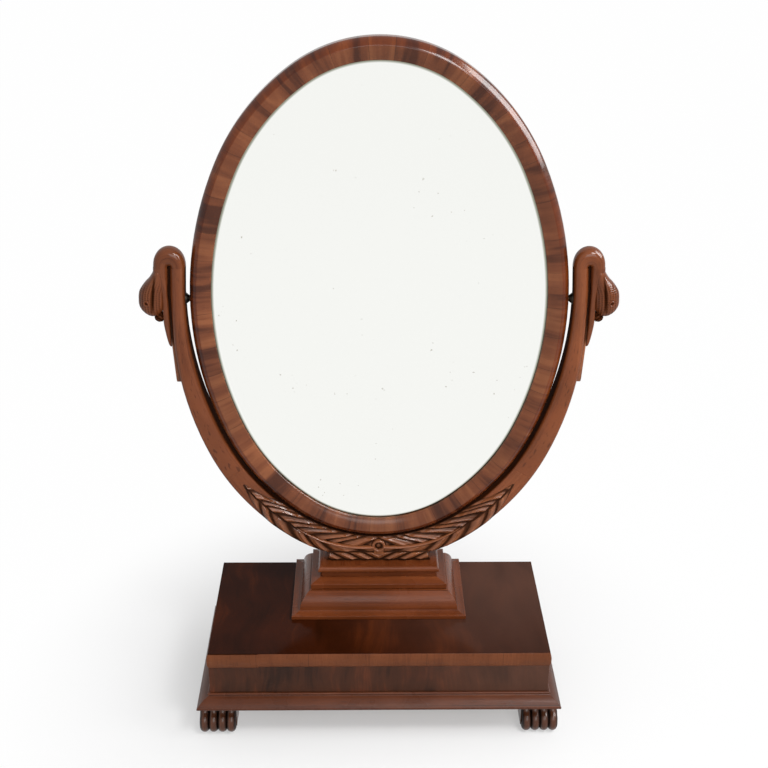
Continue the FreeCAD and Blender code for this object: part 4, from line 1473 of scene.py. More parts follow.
@dataclass
class Yoke:
    """Crescent under the oval with its two arms."""

    bench: Bench
    lines: YokeLines
    pivot: Vector
    edge_round: float = 0.003
    neck_round: float = 0.0076
    inner_round: float = 0.0070  # of the arms' edge beside the frame
    inner_shade: float = 0.0024  # width of the painted shade on the edge beside the frame
    # how light that painted shade is at the inner face
    inner_relief: float = 0.26
    inner_onset: float = 9.0  # how soon that edge becomes round above the joint
    neck_onset: float = 1.4
    joint_turn: float = 124.0
    foot_taper: float = 0.004
    foot_height: float = 0.014
    foot_set_back: float = 0.0004
    foot_wear: float = 0.0005
    turn_step: float = 2.0
    neck_steps: int = 16

    def build(self) -> None:
        """Make the crescent and both arms."""
        self.middle()
        for side in (Side.LEFT, Side.RIGHT):
            self.arm(side)

    def ring(self, inner: Vector, outer: Vector, half: float, rounding: float,
             inner_rounding: float) -> tuple[list[Vector], list[float]]:
        """Section of the yoke between its two edges.

        Args:
            inner: Point on the inner edge.
            outer: Point on the outer edge.
            half: Half its thickness.
            rounding: Radius of the other corners.
            inner_rounding: Radius of its inner corner at the front.

        Returns:
            The closed ring, and how open each of its points lies to the light.
        """
        across = outer - inner
        middle = (inner + outer) / 2
        crisp, soft = (rounded_box(across.length, 2 * half, min(radius, 0.47 * across.length), 7)
                       for radius in (rounding, inner_rounding))
        outline = [near if max(near) < 0 else far for near, far in zip(soft, crisp)]
        away = across.normalized()
        points = [Vector((middle.x, self.pivot.y + y, middle.z)) + away * x for x, y in outline]
        shares = [min(1.0, (x + across.length / 2) / self.inner_shade) for x, y in outline]
        return points, [self.inner_relief + (1 - self.inner_relief) * share for share in shares]

    def middle(self) -> None:
        """Make the crescent with its foot block."""
        draft = MeshDraft("yoke middle")
        steps = round((360 - 2 * self.joint_turn) / self.turn_step)
        turns = [self.joint_turn + self.turn_step * step for step in range(steps + 1)]
        thick = self.lines.half_thickness
        rings = [self.ring(*self.lines.across(turn), thick, self.edge_round, self.edge_round)
                 for turn in turns]
        draft.tube([points for points, _ in rings], relief=lambda i, j: rings[i][1][j])
        foot = self.lines.outer.point(180).z
        half, wide = thick - self.foot_set_back, self.lines.foot_half_width
        front, back = self.pivot.y - half, self.pivot.y + half
        narrow, top = wide - self.foot_taper, foot + self.foot_height
        ends = [[Vector((sign * wide, front, foot)), Vector((sign * wide, back, foot)),
                 Vector((sign * narrow, back, top)), Vector((sign * narrow, front, top))] for sign in (-1, 1)]
        draft.tube(ends)
        self.bench.piece(draft, "yoke_crescent", Finish.ARM, "yoke_middle", wear=self.foot_wear)

    def arm(self, side: Side) -> None:
        """Make one arm up to the curl of its head.

        Args:
            side: Left or right.
        """
        node = "yoke_arm_" + side.value
        thick, top = self.lines.half_thickness, self.lines.spring_z
        steps = round((self.joint_turn - 90) / self.turn_step)
        turns = [self.joint_turn - self.turn_step * step for step in range(steps + 1)]
        stations = [self.lines.across(turn) for turn in turns]
        start, spring = stations[0][0].z, stations[-1][0].z
        stations += [self.lines.neck(spring + (top - spring) * step / self.neck_steps)
                     for step in range(1, self.neck_steps + 1)]
        rings = []
        for inner, outer in stations:
            share = (inner.z - start) / (top - start)
            worn, inner_worn = min(1.0, self.neck_onset * share), min(1.0, self.inner_onset * share)
            half = thick + share * (self.lines.neck_half - thick)
            rounding = self.edge_round + worn * worn * (self.neck_round - self.edge_round)
            inner_rounding = self.edge_round + inner_worn * (self.inner_round - self.edge_round)
            rings.append(self.ring(inner, outer, half, rounding, max(rounding, inner_rounding)))
        draft = MeshDraft(node)
        draft.tube([points for points, _ in rings], relief=lambda i, j: rings[i][1][j])
        self.bench.piece(draft, "arm_" + side.value, Finish.ARM, node, side=side)


@dataclass
class SwanHeads:
    """Heads that curl over the arms and hang outside them, with their slips."""

    bench: Bench
    lines: YokeLines
    pivot: Vector
    curl_rise: float = 0.0224  # top of the curl over its spring
    slip_width: float = 0.0026
    slip_half: float = 0.006
    slip_sunk_half: float = 0.002  # where it lies deep in the slot
    slip_tail_inset: float = 0.0038
    slip_tip: float = 0.004  # length of its thinner lower tip
    slip_sink: float = 0.03  # way over which it sinks into the slot
    slip_fade: float = 0.012  # way over which it falls into shade there
    slip_round: float = 0.001
    clearance: float = 0.0004
    knob_radius: float = 0.0062
    knob_drop: float = 0.0650
    knob_reach: float = 0.0110
    knob_rough: float = 0.09  # depth of its waves, as a share of the radius
    eye_drop: float = 0.0445
    eye_reach: float = 0.0228
    eye_radius: float = 0.0029
    eye_cord: float = 0.0008
    eye_points: int = 28
    cord_points: int = 10
    cut_depth: float = 0.0005  # feather cuts on the skull
    cut_pitch: float = 0.0044
    cut_slope: float = 0.7
    cut_top: float = 0.016  # drop where the cuts begin, and the way over which they deepen
    cut_fade: float = 0.014
    crease_depth: float = 0.0016  # between cheek and skull
    crease_width: float = 0.0016
    crease_top: Pair = (0.012, 0.0115)  # drop and reach of its ends
    crease_foot: Pair = (0.058, 0.0172)
    head_relief: float = 0.6  # how far the head's colour is darkened against the arm
    curl_steps: int = 32
    beak_steps: int = 60
    skull_steps: int = 140
    skull_points: int = 112
    slip_steps: int = 60

    # drop below the top of the neck, reach from the slip, half thickness
    beak_stations = ((0.0045, 0.0141, 0.0113), (0.0100, 0.0142, 0.0112), (0.0160, 0.0124, 0.0109),
                     (0.0230, 0.0092, 0.0106), (0.0320, 0.0070, 0.0102), (0.0450, 0.0062, 0.0094),
                     (0.0600, 0.0066, 0.0080), (0.0720, 0.0068, 0.0064), (0.0830, 0.0058, 0.0048),
                     (0.0930, 0.0043, 0.0034), (0.1000, 0.0027, 0.0021), (0.1022, 0.0012, 0.0009))
    # drop, inner and outer side from the slip, half thickness
    skull_stations = ((0.0030, 0.0020, 0.0124, 0.0090), (0.0095, 0.0020, 0.0146, 0.0112),
                      (0.0143, 0.0020, 0.0172, 0.0124), (0.0190, 0.0020, 0.0206, 0.0135),
                      (0.0240, 0.0020, 0.0254, 0.0146), (0.0286, 0.0020, 0.0289, 0.0153),
                      (0.0334, 0.0020, 0.0318, 0.0158), (0.0382, 0.0020, 0.0330, 0.0160),
                      (0.0430, 0.0022, 0.0334, 0.0160), (0.0478, 0.0028, 0.0335, 0.0155),
                      (0.0528, 0.0042, 0.0323, 0.0144), (0.0576, 0.0070, 0.0292, 0.0122),
                      (0.0612, 0.0105, 0.0252, 0.0088), (0.0632, 0.0140, 0.0212, 0.0048),
                      (0.0636, 0.0160, 0.0190, 0.0018))

    def build(self) -> None:
        """Make both heads and both slips."""
        self.root = self.lines.outer.half_width + self.slip_width + self.clearance
        self.slot_x = self.lines.outer.half_width - self.lines.lean + self.slip_width / 2
        self.sunk_z = self.lines.top_z - self.beak_stations[-1][0]
        for side in (Side.LEFT, Side.RIGHT):
            self.head(side)
            self.slip(side)

    def curl(self, draft: MeshDraft) -> None:
        """Add the curl, a thick round cord bent over the slot.

        Args:
            draft: Draft that takes it.
        """
        hollow = self.slip_width / 2
        swell = self.curl_rise - hollow - self.lines.arm_width
        outline = whole_turn(44)
        rows = []
        for step in range(self.curl_steps + 1):
            turn = pi * step / self.curl_steps
            width = self.lines.arm_width + swell * sin(turn) ** 2
            ring = []
            for angle in outline:
                reach = hollow + width / 2 * (1 + full(cos(angle)))
                depth = self.pivot.y + self.lines.neck_half * full(sin(angle))
                ring.append(Vector((self.slot_x - reach * cos(turn), depth,
                                    self.lines.spring_z + reach * sin(turn))))
            rows.append(ring)
        # the curl's colour darkens along its turn away from the arm
        draft.tube(rows, relief=lambda i, j: 0.75 - 0.15 * min(1.0, i / 12))

    def beak(self, draft: MeshDraft) -> None:
        """Add the strip beside the slip that runs out into the beak.

        Args:
            draft: Draft that takes it.
        """
        rows = []
        for step in range(self.beak_steps + 1):
            way = step / self.beak_steps
            drop, reach, half = smooth_through(self.beak_stations, way)
            level = self.lines.top_z - drop
            low, high = self.root - self.lines.shift(level), self.root + reach
            rounding = 0.5 * min(high - low, 2 * half) * (0.9 - 0.2 * way)
            rows.append([Vector(((low + high) / 2 + x, self.pivot.y + y, level))
                         for x, y in rounded_box(high - low, 2 * half, rounding, 6)])
        draft.tube(rows, relief=lambda i, j: self.head_relief)

    def skull(self, draft: MeshDraft) -> None:
        """Add the round skull with its feather cuts.

        Args:
            draft: Draft that takes it.
        """
        rows, heights = [], []
        for step in range(self.skull_steps + 1):
            drop, inset, reach, half = smooth_through(self.skull_stations, step / self.skull_steps)
            level = self.lines.top_z - drop
            middle, arm = (reach + inset) / 2, (reach - inset) / 2
            way = (drop - self.crease_top[0]) / (self.crease_foot[0] - self.crease_top[0])
            crease = 0.0
            if way > 0:
                crease = self.crease_top[1] + way ** 0.7 * (self.crease_foot[1] - self.crease_top[1])
            fade = max(0.0, sin(pi * min(1.0, max(0.0, way)))) ** 0.6
            share = min(1.0, max(0.0, (drop - self.cut_top) / self.cut_fade))
            ring, row_heights = [], []
            for turn in whole_turn(self.skull_points):
                x, y = arm * cos(turn), half * sin(turn)
                waves = [cos(2 * pi * (level + sign * self.cut_slope * x) / self.cut_pitch)
                         for sign in (1, -1)]
                cut = share * max(0.0, waves[0] * waves[1])
                groove = fade * math.exp(-((middle + x - crease) / self.crease_width) ** 2)
                shrink = 1 - (self.cut_depth * cut + self.crease_depth * groove) / half
                ring.append(Vector((self.root + middle + x * shrink, self.pivot.y + y * shrink, level)))
                # Painted shade in the feather cuts and in the crease
                row_heights.append(self.head_relief * (1 - 0.75 * cut) * (1 - 0.9 * groove))
            rows.append(ring)
            heights.append(row_heights)
        draft.tube(rows, relief=lambda i, j: heights[i][j])

    def head(self, side: Side) -> None:
        """Make one head: curl, beak, skull, knob and eyes.

        Args:
            side: Left or right.
        """
        node = "swan_head_" + side.value
        draft = MeshDraft(node)
        self.curl(draft)
        self.beak(draft)
        self.skull(draft)
        self.knob(draft)
        for face in (-1, 1):
            self.eye(draft, face)
        self.bench.piece(draft, "swan_" + side.value, Finish.ARM, node, side=side, sharp=50.0)

    def knob(self, draft: MeshDraft) -> None:
        """Add the rough knob at the root of the beak.

        Args:
            draft: Draft that takes it.
        """
        centre = Vector((self.root + self.knob_reach, self.pivot.y, self.lines.top_z - self.knob_drop))
        rows = []
        for i in range(13):
            polar = pi * (i + 0.15) / 12.3
            ring = []
            for turn in whole_turn(24):
                radius = self.knob_radius * (1 + self.knob_rough * sin(5 * turn + 2 * i))
                away = Vector((sin(polar) * cos(turn), 1.1 * sin(polar) * sin(turn),
                               cos(polar)))
                ring.append(centre + radius * away)
            rows.append(ring)
        # Painted shade in the hollows between the knob's waves
        draft.tube(rows, relief=lambda i, j: 0.24 + 0.22 * sin(5 * pi * j / 12 + 2 * i))

    def eye(self, draft: MeshDraft, face: int) -> None:
        """Add the ring and pupil of an eye.

        Args:
            draft: Draft that takes it.
            face: -1 on the front, 1 on the back.
        """
        stations = [smooth_through(self.skull_stations, k / 100) for k in range(101)]
        drop, inset, reach, half = min(stations, key=lambda station: abs(station[0] - self.eye_drop))
        arm = (reach - inset) / 2
        offset = (self.eye_reach - inset - arm) / arm
        level = math.sqrt(1 - offset ** 2)
        normal = Vector((offset / arm, face * level / half, -8.0)).normalized()
        seat = Vector((self.root + self.eye_reach, self.pivot.y + face * half * level,
                       self.lines.top_z - drop))
        one = normal.cross(Vector((0, 0, 1))).normalized()
        two = normal.cross(one)
        rows = []
        for turn in whole_turn(self.eye_points):
            away = one * cos(turn) + two * sin(turn)
            rows.append([seat + away * (self.eye_radius + self.eye_cord * cos(a))
                         + normal * (self.eye_cord * sin(a)) for a in whole_turn(self.cord_points)])
        # Painted shade: the eye cord is lighter on its crest, shaded at its foot
        draft.grid(rows, lambda i, j: (0.001 * i, 0.001 * j), wrap_rows=True,
                   relief=lambda i, j: 0.5 + 0.5 * sin(2 * pi * j / self.cord_points))
        dome = []
        for i in range(6):
            polar = pi / 2 * (i + 0.1) / 5.1
            spread = 0.55 * self.eye_radius * sin(polar)
            dome.append([seat + (one * cos(a) + two * sin(a)) * spread
                         + normal * (0.8 * self.eye_cord * cos(polar)) for a in whole_turn(16)])
        # the pupil is painted in shade
        draft.tube(dome, relief=lambda i, j: 0.25)

    def slip(self, side: Side) -> None:
        """Make the thin slip between the neck and the head, with its wedge of a tail.

        Args:
            side: Left or right.
        """
        node = "head_slip_" + side.value
        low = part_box("head_slip_right")[0].z
        wide = self.lines.outer.centre_z
        steps = self.slip_steps
        levels = [low + (self.lines.spring_z - low) * step / steps for step in range(steps + 1)]
        rows, heights = [], []
        for level in levels:
            start = self.lines.outer_x(level)
            end = self.root + self.clearance - self.lines.shift(level)
            if level < wide:
                end -= self.slip_tail_inset * (wide - level) / (wide - low)
            sunk = min(1.0, max(0.0, (level - self.sunk_z) / self.slip_sink))
            half = self.slip_half * min(1.0, 0.7 + 0.3 * (level - low) / self.slip_tip)
            half -= (self.slip_half - self.slip_sunk_half) * sunk
            outline = rounded_box(end - start, 2 * half, self.slip_round, 3)
            rows.append([Vector(((start + end) / 2 + x, self.pivot.y + y, level)) for x, y in outline])
            above = min(1.0, max(0.0, (self.sunk_z + self.slip_fade - level) / self.slip_fade))
            heights.append(0.75 * above)
        draft = MeshDraft(node)
        draft.tube(rows, relief=lambda i, j: heights[i])
        self.bench.piece(draft, "slip_" + side.value, Finish.CARVED, node, side=side)


@dataclass
class LeafCarving:
    """Leaf sprays cut along the crescent, leaf ends over its foot, and the ring between them."""

    bench: Bench
    lines: YokeLines
    face_y: float
    relief: float = 0.006
    start_turn: float = 180.0
    end_turn: float = 126.5
    stem_rise: float = 0.19  # how far the stem climbs towards the ring, as a share of the width
    upper_pitch: float = 0.0270  # from lobe to lobe along the stem
    lower_pitch: float = 0.0400
    upper_slant: float = 27.0  # of a lobe from the stem, degrees
    lower_slant: float = 31.0
    sweep_share: float = 0.45
    bend_reach: float = 0.018  # distance from the stem over which a lobe bends along it
    thinning: float = 0.35  # share of the height and pitch that is lost at the tip
    narrowing: float = 0.74  # share of the stem from which the spray narrows to its tip
    overhang: float = 0.003  # of the upper lobes over the inner edge
    lower_reach: float = 0.985  # share of the lower width that is carved
    edge_fall: float = 0.0030
    edge_kept: float = 0.55  # height that the overhanging edge keeps
    edge_sink: float = 0.0003
    tuck: float = 0.0012  # depth of that edge's underside
    ground: float = 0.1  # height of the cuts, as a share of the relief
    fan_ground: float = 0.08
    groove: float = 0.0026  # beside the midrib
    midrib_radius: float = 0.0019
    midrib_start: float = 0.04
    midrib_end: float = 0.62
    midrib_seat: float = 0.66  # share of the relief
    fan_rise: float = 0.0125
    fan_pitch: float = 0.0190
    fan_slant: float = 30.0
    fan_shadow: float = 0.0030  # dark line over the cap
    foot_taper: float = 0.0036
    strap_half_width: float = 0.006
    strap_height: float = 0.005
    strap_round: float = 0.0012
    ring_radius: float = 0.0082
    ring_hole: float = 0.0050
    ring_rise: float = 0.023
    stem_steps: int = 220
    rise_steps: int = 48
    midrib_steps: int = 60
    fan_steps: int = 100
    fan_rise_steps: int = 32

    def build(self) -> None:
        """Make both sprays, both fans and the ring."""
        self.foot = self.lines.outer.point(180).z
        for side in (Side.LEFT, Side.RIGHT):
            self.spray(side)
            self.fan(side)
        self.ring()

    def stem(self, share: float) -> tuple[Vector, Vector, float, float]:
        """Place on the stem of the right spray.

        Args:
            share: Way from its root to its tip.

        Returns:
            The point on the face, the direction upwards, and the distances to the upper and lower edge.
        """
        inner, outer = self.lines.across(self.start_turn + share * (self.end_turn - self.start_turn))
        climb = 0.5 + self.stem_rise * max(0.0, 1 - share / 0.45) ** 1.5
        base = outer + (inner - outer) * climb
        width = (inner - outer).length
        upper, lower = (1 - climb) * width, min(climb * width, base.z - self.foot - self.fan_rise)
        return Vector((base.x, self.face_y, base.z)), (inner - outer).normalized(), upper, lower

    @staticmethod
    def ease(value: float) -> float:
        """Smooth step from 0 to 1."""
        value = min(1.0, max(0.0, value))
        return value * value * (3 - 2 * value)

    @staticmethod
    def lobe(phase: float) -> float:
        """Height across a row of fluted lobes, from 0 in the cuts to about 1.

        Args:
            phase: Place across the row, one for each lobe.

        Returns:
            The height.
        """
        way = phase - math.floor(phase)
        swell = 0.88 + 0.12 * sin(2.9 * math.floor(phase))
        return swell * sin(pi * way ** 0.6) ** 1.2 * (1 - 0.12 * (1 - cos(6 * pi * way)))

    def spray(self, side: Side) -> None:
        """Make one spray of leaves with its midrib.

        Args:
            side: Left or right.
        """
        node = "leaf_spray_" + side.value
        draft = MeshDraft(node)
        stations = [self.stem(step / self.stem_steps) for step in range(self.stem_steps + 1)]
        travelled = marks([base for base, *_ in stations], closed=False)
        rows, heights = [], []
        for step, (base, up, upper, lower) in enumerate(stations):
            share = step / self.stem_steps
            narrow = 1 - max(0.0, (share - self.narrowing) / (1 - self.narrowing)) ** 1.7
            broad = self.ease((narrow - 0.7) / 0.3)
            high, low = narrow * upper + broad * self.overhang, -self.lower_reach * narrow * lower
            row, row_heights = [], []
            for k in range(self.rise_steps + 1):
                rise = low + (high - low) * k / self.rise_steps
                height = self.cut(travelled[step], rise, share) * self.beside_ring(base + up * rise)
                edge = self.ease((rise - low) / self.edge_fall)
                edge *= max(self.ease((high - rise) / self.edge_fall), self.edge_kept * broad)
                depth = self.relief * (1 - self.thinning * share) * edge
                depth *= self.ground + (1 - self.ground) * height
                row.append(base + up * rise - Vector((0, depth - self.edge_sink * (1 - edge), 0)))
                # Painted shade: darker in the cuts and where the edges fall away
                row_heights.append(height * (0.35 + 0.65 * edge))
            # the tucked underside is painted fully in shade
            under = high - 0.6 * broad * self.overhang - 0.002
            for rise, depth in ((high, self.tuck), (under, 2 * self.tuck)):
                row.append(base + up * rise + Vector((0, depth, 0)))
                row_heights.append(0.0)
            rows.append(row)
            heights.append(row_heights)
        draft.grid(rows, lambda i, j: (travelled[i], 0.0007 * j), wrap_columns=False,
                   relief=lambda i, j: heights[i][j])
        self.midrib(draft)
        self.bench.piece(draft, "leaves_" + side.value, Finish.CARVED, node, side=side, sharp=60.0)

    def beside_ring(self, place: Vector) -> float:
        """How much of the carving is left at a place beside the ring."""
        away = hypot(place.x, place.z - self.foot - self.ring_rise)
        return self.ease((away - 0.8 * self.ring_radius) / 0.004)

    def cut(self, travelled: float, rise: float, share: float) -> float:
        """Height of the spray at a place.

        Args:
            travelled: Distance along the stem.
            rise: Distance above the stem.
            share: Way along the stem.

        Returns:
            The height, 0 in the deepest cuts and about 1 on the ridges.
        """
        upper, lower = (self.upper_pitch, self.upper_slant), (self.lower_pitch, self.lower_slant)
        pitch, slant = upper if rise > 0 else lower
        pitch *= 1 - self.thinning * share
        sweep = abs(rise) * (self.sweep_share + abs(rise) / self.bend_reach)
        phase = (travelled + sweep / math.tan(radians(slant))) / pitch
        phase += 0.16 * sin(2.3 * phase)
        groove = self.groove * (1 - 0.5 * share)
        return self.lobe(phase) * self.ease((abs(rise) - 0.2 * groove) / groove)

    def midrib(self, draft: MeshDraft) -> None:
        """Add the raised cord along the stem.

        Args:
            draft: Draft that takes it.
        """
        rows = []
        for step in range(self.midrib_steps + 1):
            way = step / self.midrib_steps
            share = self.midrib_start + (self.midrib_end - self.midrib_start) * way
            base, up, *_ = self.stem(share)
            radius = self.midrib_radius * (1 - 0.75 * way ** 3)
            height = self.midrib_seat * self.relief * (1 - self.thinning * share) * (1 - 0.6 * way ** 4)
            seat = base - Vector((0, height, 0))
            rows.append([seat + up * (radius * cos(a)) + Vector((0, 1.6 * radius * sin(a), 0))
                         for a in whole_turn(14)])
        draft.tube(rows)

    def fan(self, side: Side) -> None:
        """Make the leaf ends over one half of the foot.

        Args:
            side: Left or right.
        """
        node = "leaf_fan_" + side.value
        draft = MeshDraft(node)
        lean = math.tan(radians(self.fan_slant))
        top = self.fan_rise + 0.0012
        rows, heights = [], []
        for i in range(self.fan_steps + 1):
            row, row_heights = [], []
            for k in range(self.fan_rise_steps + 1):
                rise = top * k / self.fan_rise_steps
                end = self.lines.foot_half_width - 0.0003 - self.foot_taper * rise / top
                across = end * i / self.fan_steps
                edge = self.ease((end - across) / 0.0015)
                edge *= self.ease((rise - 0.5 * self.fan_shadow) / self.fan_shadow)
                height = self.lobe((across - rise / lean) / self.fan_pitch)
                height *= self.ease((top - rise) / 0.0022)
                depth = 0.9 * self.relief * edge * (self.fan_ground + (1 - self.fan_ground) * height)
                row.append(Vector((across, self.face_y - depth, self.foot + rise)))
                # Painted shade: darker in the cuts, at the ends and along the shadow line over the cap
                row_heights.append(height * edge)
            rows.append(row)
            heights.append(row_heights)
        draft.grid(rows, lambda i, j: (0.0006 * i, 0.0004 * j), wrap_columns=False,
                   relief=lambda i, j: heights[i][j])
        self.bench.piece(draft, "leaf_ends_" + side.value, Finish.CARVED, node, side=side, sharp=60.0)

    def ring(self) -> None:
        """Make the ring with its hollow, and the strap under it."""
        draft = MeshDraft("ring boss")
        centre = Vector((0, self.face_y, self.foot + self.ring_rise))
        cord = (self.ring_radius - self.ring_hole) / 2
        profile = [(self.ring_radius - 0.0006, 0.0), (self.ring_radius, -0.5 * self.relief)]
        profile += [(self.ring_hole + cord + cord * cos(a), -0.72 * self.relief - cord * sin(a))
                    for a in (pi * k / 12 for k in range(13))]
        profile += [(self.ring_hole - 0.0004, -0.35 * self.relief),
                    (0.6 * self.ring_hole, -0.42 * self.relief), (0.25 * self.ring_hole, -0.55 * self.relief)]
        # Painted shade factor of each profile ring: dark in the hollow, lightest on the cord's crest
        depths = [0.3, 0.6] + [0.75 + 0.25 * sin(pi * k / 12) for k in range(13)] + [0.05, 0.1, 0.5]
        rows = [[centre + Vector((radius * cos(a), y, radius * sin(a))) for a in whole_turn(40)]
                for radius, y in profile]
        draft.grid(rows, lambda i, j: (0.001 * j, 0.001 * i),
                   relief=lambda i, j: depths[i])
        draft.cap(rows[0])
        draft.cap(rows[-1], [0.5] * len(rows[-1]))
        strap_z = centre.z - self.ring_radius + 0.001 - self.strap_height / 2
        outline = rounded_box(2 * self.strap_half_width, self.strap_height, self.strap_round)
        strap = []
        for y, shrink in ((0.0, 1.0), (-0.5 * self.relief, 1.0), (-0.68 * self.relief, 0.86)):
            strap.append([Vector((x * shrink, self.face_y + y, strap_z + z * shrink))
                          for x, z in outline])
        draft.tube(strap)
        self.bench.piece(draft, "ring_and_strap", Finish.CARVED, "ring_boss")


@dataclass
class Pivots:
    """Iron pins in the arms and brass bushes in the frame."""

    bench: Bench
    pivot: Vector
    pin_radius: float = 0.003
    boss_gap: float = 0.0004
    boss_small: float = 0.0036
    boss_large: float = 0.0065
    bush_radius: float = 0.005
    bush_bore: float = 0.00305
    bush_round: float = 0.0005
    arm_gap: float = 0.0048  # from the frame to the arm, where the boss ends
    pin_point: float = 0.0006  # length of the pin's rounded end
    points: int = 28

    def build(self) -> None:
        """Make the pins and bushes of both sides."""
        bush_low, bush_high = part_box("pivot_bush_right")
        inner, face = bush_low.x, bush_high.x
        low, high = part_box("pivot_pin_right")
        boss_start = face + self.boss_gap
        boss_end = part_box("frame_side_right")[1].x + self.arm_gap
        pin = [(low.x, 0.8 * self.pin_radius), (low.x + self.pin_point, self.pin_radius),
               (boss_start, self.pin_radius), (boss_start, self.boss_small - 0.0004),
               (boss_start + 0.0005, self.boss_small), (boss_end - 0.0008, self.boss_large - 0.0003),
               (boss_end, self.boss_large), (boss_end, self.pin_radius), (high.x, self.pin_radius)]
        bush = [(inner, self.bush_bore), (inner, self.bush_radius),
                (face - self.bush_round, self.bush_radius), (face, self.bush_radius - self.bush_round),
                (face, self.bush_bore)]
        for side in (Side.LEFT, Side.RIGHT):
            self.turned("pin", pin, side, Finish.IRON, Body.STAND)
            self.turned("bush", bush, side, Finish.BRASS, Body.MIRROR, hollow=True)

    def turned(self, kind: str, profile: Sequence[Pair], side: Side, finish: Finish, body: Body,
               hollow: bool = False) -> None:
        """Make a turned piece about the pivot.

        Args:
            kind: Pin or bush.
            profile: Place along the axis and radius.
            side: Left or right.
            finish: Its finish.
            body: Body that it rides on.
            hollow: Whether the profile closes on itself round a bore.
        """
        name = kind + "_" + side.value
        rows = [[Vector((x, self.pivot.y + radius * cos(a), self.pivot.z + radius * sin(a)))
                 for a in whole_turn(self.points)] for x, radius in profile]
        draft = MeshDraft(name)
        draft.grid(rows, lambda i, j: (0.001 * i, 0.001 * j), wrap_rows=hollow)
        if not hollow:
            draft.cap(rows[0])
            draft.cap(rows[-1])
        self.bench.piece(draft, name, finish, "pivot_" + name, body, side)


@dataclass
class HiddenJoinery:
    """Dowels, blocks, wedges and screws inside, shown as the CAD has them."""

    finishes: Finishes

    def build(self) -> None:
        """Dress the nodes that stay."""
        dressed = {"arm_dowels": Finish.BEECH, "foot_dowels": Finish.BEECH, "head_dowels": Finish.BEECH,
                   "yoke_dowels": Finish.BEECH, "corner_blocks": Finish.PINE, "glass_wedges": Finish.PINE,
                   "plinth_screws": Finish.STEEL}
        for name, finish in dressed.items():
            node = frame["nodes"][name]
            for slot in node.material_slots:
                slot.material = self.finishes.materials[finish]
            LOG.info("%s: CAD node, %s", name, finish.value)


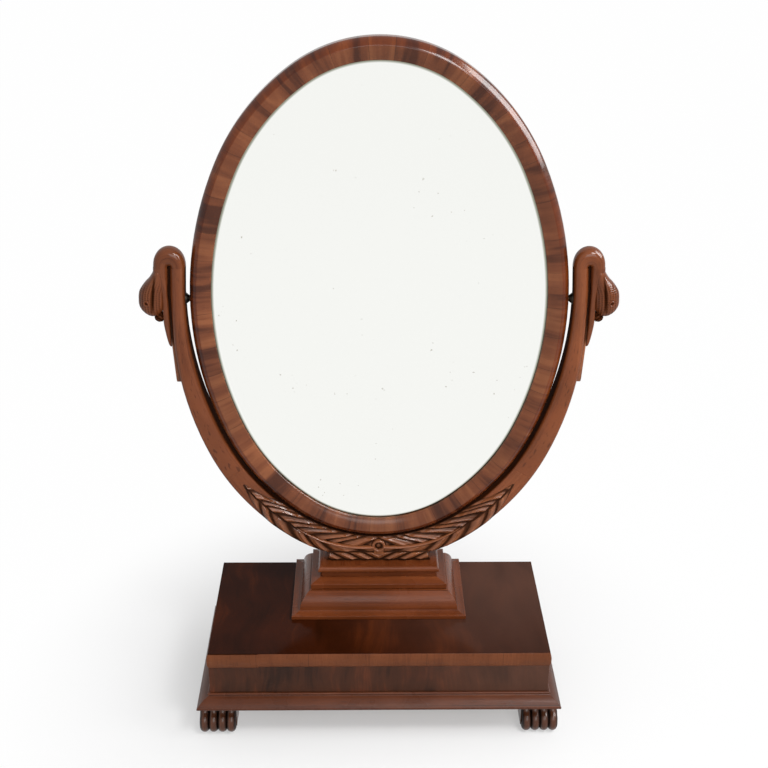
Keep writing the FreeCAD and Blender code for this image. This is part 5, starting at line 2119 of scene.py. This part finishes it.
@dataclass
class Studio:
    """Pale floor, soft lamps, white surround and the camera."""

    floor_half: float = 8.0
    floor_white: float = 0.76
    glow_near: float = 0.32  # share of plain white in what the camera and the glass see
    glow_far: float = 0.99
    glow_reach: Pair = (0.12, 0.5)  # distances from the object
    ambient: float = 0.42
    lens: float = 58.6
    sensor: float = 36.0
    camera_place: tuple[float, float, float] = (-0.0174, -1.2737, 1.0282)
    pitch: float = 25.46
    yaw: float = 1.0
    roll: float = 0.38

    def build(self) -> None:
        """Set the stage."""
        self.floor()
        self.surround()
        self.lamp("key_lamp", (0.85, -0.95, 1.9), (0.0, 0.0, 0.35), 0.55, 0.55, 23.0)
        self.lamp("front_lamp", (0.5, -2.0, 1.4), (0.0, 0.0, 0.3), 1.7, 1.2, 26.0)
        self.lamp("side_lamp", (1.35, -0.3, 1.5), (0.0, 0.0, 0.6), 0.55, 0.7, 10.0)
        shine = self.lamp("shine_lamp", (1.4, 0.05, 1.4), (0.15, 0.0, 0.72), 1.1, 1.1, 62.0)
        shine.visible_diffuse = False  # shows only in the polish
        self.camera()
        bpy.context.scene.view_settings.view_transform = "Standard"

    @staticmethod
    def seen(sheet: NodeSheet) -> Socket:
        """Factor that is 1 for the camera and for what the glass and the polish mirror.

        Args:
            sheet: Sheet that takes the nodes.

        Returns:
            The factor socket.
        """
        path = sheet.add("ShaderNodeLightPath", {}).node.outputs
        mirrored = sheet.maths("MAXIMUM", path["Is Glossy Ray"], path["Is Transmission Ray"])
        return sheet.maths("MAXIMUM", path["Is Camera Ray"], mirrored)

    def floor(self) -> None:
        """Lay the pale floor, plain white to the eye away from the object."""
        half, white = self.floor_half, self.floor_white
        mesh = bpy.data.meshes.new("floor")
        corners = [(-half, -half, 0), (half, -half, 0), (half, half, 0), (-half, half, 0)]
        mesh.from_pydata(corners, [], [(0, 1, 2, 3)])
        floor = placed("floor", mesh)
        sheet = NodeSheet(bpy.data.materials.new("pale_floor"), bare=True)
        away = sheet.add("ShaderNodeVectorMath", {0: sheet.place()}, "Value", operation="LENGTH")
        whiteness = sheet.between(away, *self.glow_reach, self.glow_near, self.glow_far)
        share = sheet.maths("MULTIPLY", whiteness, self.seen(sheet))
        paint = sheet.add("ShaderNodeBsdfDiffuse", {"Color": (white, white, white, 1.0)})
        glow = sheet.add("ShaderNodeEmission", {})
        mixed = sheet.add("ShaderNodeMixShader", {0: share, 1: paint, 2: glow})
        sheet.feed(sheet.tree.nodes.new("ShaderNodeOutputMaterial").inputs["Surface"], mixed)
        mesh.materials.append(sheet.owner)

    def surround(self) -> None:
        """Make the world white to the camera and in reflections, and a soft light on the object."""
        world = bpy.data.worlds.new("studio")
        bpy.context.scene.world = world
        sheet = NodeSheet(world, bare=True)
        strength = sheet.maths("MULTIPLY", self.seen(sheet), 1 - self.ambient)
        inputs = {"Color": WHITE, "Strength": sheet.maths("ADD", strength, self.ambient)}
        sky = sheet.add("ShaderNodeBackground", inputs)
        sheet.feed(sheet.tree.nodes.new("ShaderNodeOutputWorld").inputs["Surface"], sky)

    def lamp(self, name: str, place: Sequence[float], aim: Sequence[float], width: float, height: float,
             power: float) -> bpy.types.Object:
        """Hang a soft lamp.

        Args:
            name: Name of the lamp.
            place: Where it hangs.
            aim: Point that it faces.
            width: Width of its screen.
            height: Height of its screen.
            power: Watts.

        Returns:
            The lamp.
        """
        light = bpy.data.lights.new(name, "AREA")
        light.shape = "RECTANGLE"
        light.size = width
        light.size_y = height
        light.energy = power
        lamp = placed(name, light)
        lamp.location = place
        lamp.rotation_euler = (Vector(aim) - Vector(place)).to_track_quat("-Z", "Y").to_euler()
        lamp.visible_camera = False
        return lamp

    def camera(self) -> None:
        """Stand the camera where the photograph was taken from."""
        lens = bpy.data.cameras.new("camera")
        lens.lens = self.lens
        lens.sensor_width = self.sensor
        camera = placed("camera", lens)
        turns = [Matrix.Rotation(radians(turn), 4, axis) for turn, axis in
                 ((-self.yaw, "Z"), (90 - self.pitch, "X"), (self.roll, "Z"))]
        camera.matrix_world = Matrix.Translation(self.camera_place) @ turns[0] @ turns[1] @ turns[2]
        bpy.context.scene.camera = camera


@dataclass
class DressingMirror:
    """The whole mirror, from its shared sizes."""

    half_width: float = 0.213
    half_height: float = 0.2965
    pivot_above_centre: float = 0.0078
    swing_gap: float = 0.0048
    arm_width: float = 0.0166
    yoke_drop: float = 0.024  # middle of the crescent's outer edge below the oval's
    neck_bend: float = 0.008  # above the pivot
    neck_lean: float = 0.0021

    def build(self) -> None:
        """Make every sub-assembly in order."""
        pivot = Vector(frame["joints"][0]["pos_m"])
        centre_z = pivot.z - self.pivot_above_centre
        oval = Oval(self.half_width, self.half_height, centre_z)
        yoke_z = centre_z - self.yoke_drop
        outer_half = self.half_width + self.swing_gap + self.arm_width
        outer = Oval(outer_half, yoke_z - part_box("plinth_cap")[1].z, yoke_z)
        lines = YokeLines(oval, self.swing_gap, outer, self.arm_width, pivot.z + self.neck_bend,
                          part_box("yoke_arm_right")[1].z, self.neck_lean)
        finishes = Finishes()
        bench = Bench(finishes)
        for assembly in (BoxBase(bench), ScrollFeet(bench), Plinth(bench), SwingGlass(bench, oval, pivot),
                         Yoke(bench, lines, pivot), SwanHeads(bench, lines, pivot),
                         LeafCarving(bench, lines, pivot.y - lines.half_thickness), Pivots(bench, pivot),
                         HiddenJoinery(finishes), Studio()):
            LOG.info("building %s", type(assembly).__name__)
            assembly.build()


def main() -> None:
    """Build and dress the mirror."""
    logging.basicConfig(level=logging.INFO, format="%(message)s")
    DressingMirror().build()


if __name__ == "__main__":
    main()
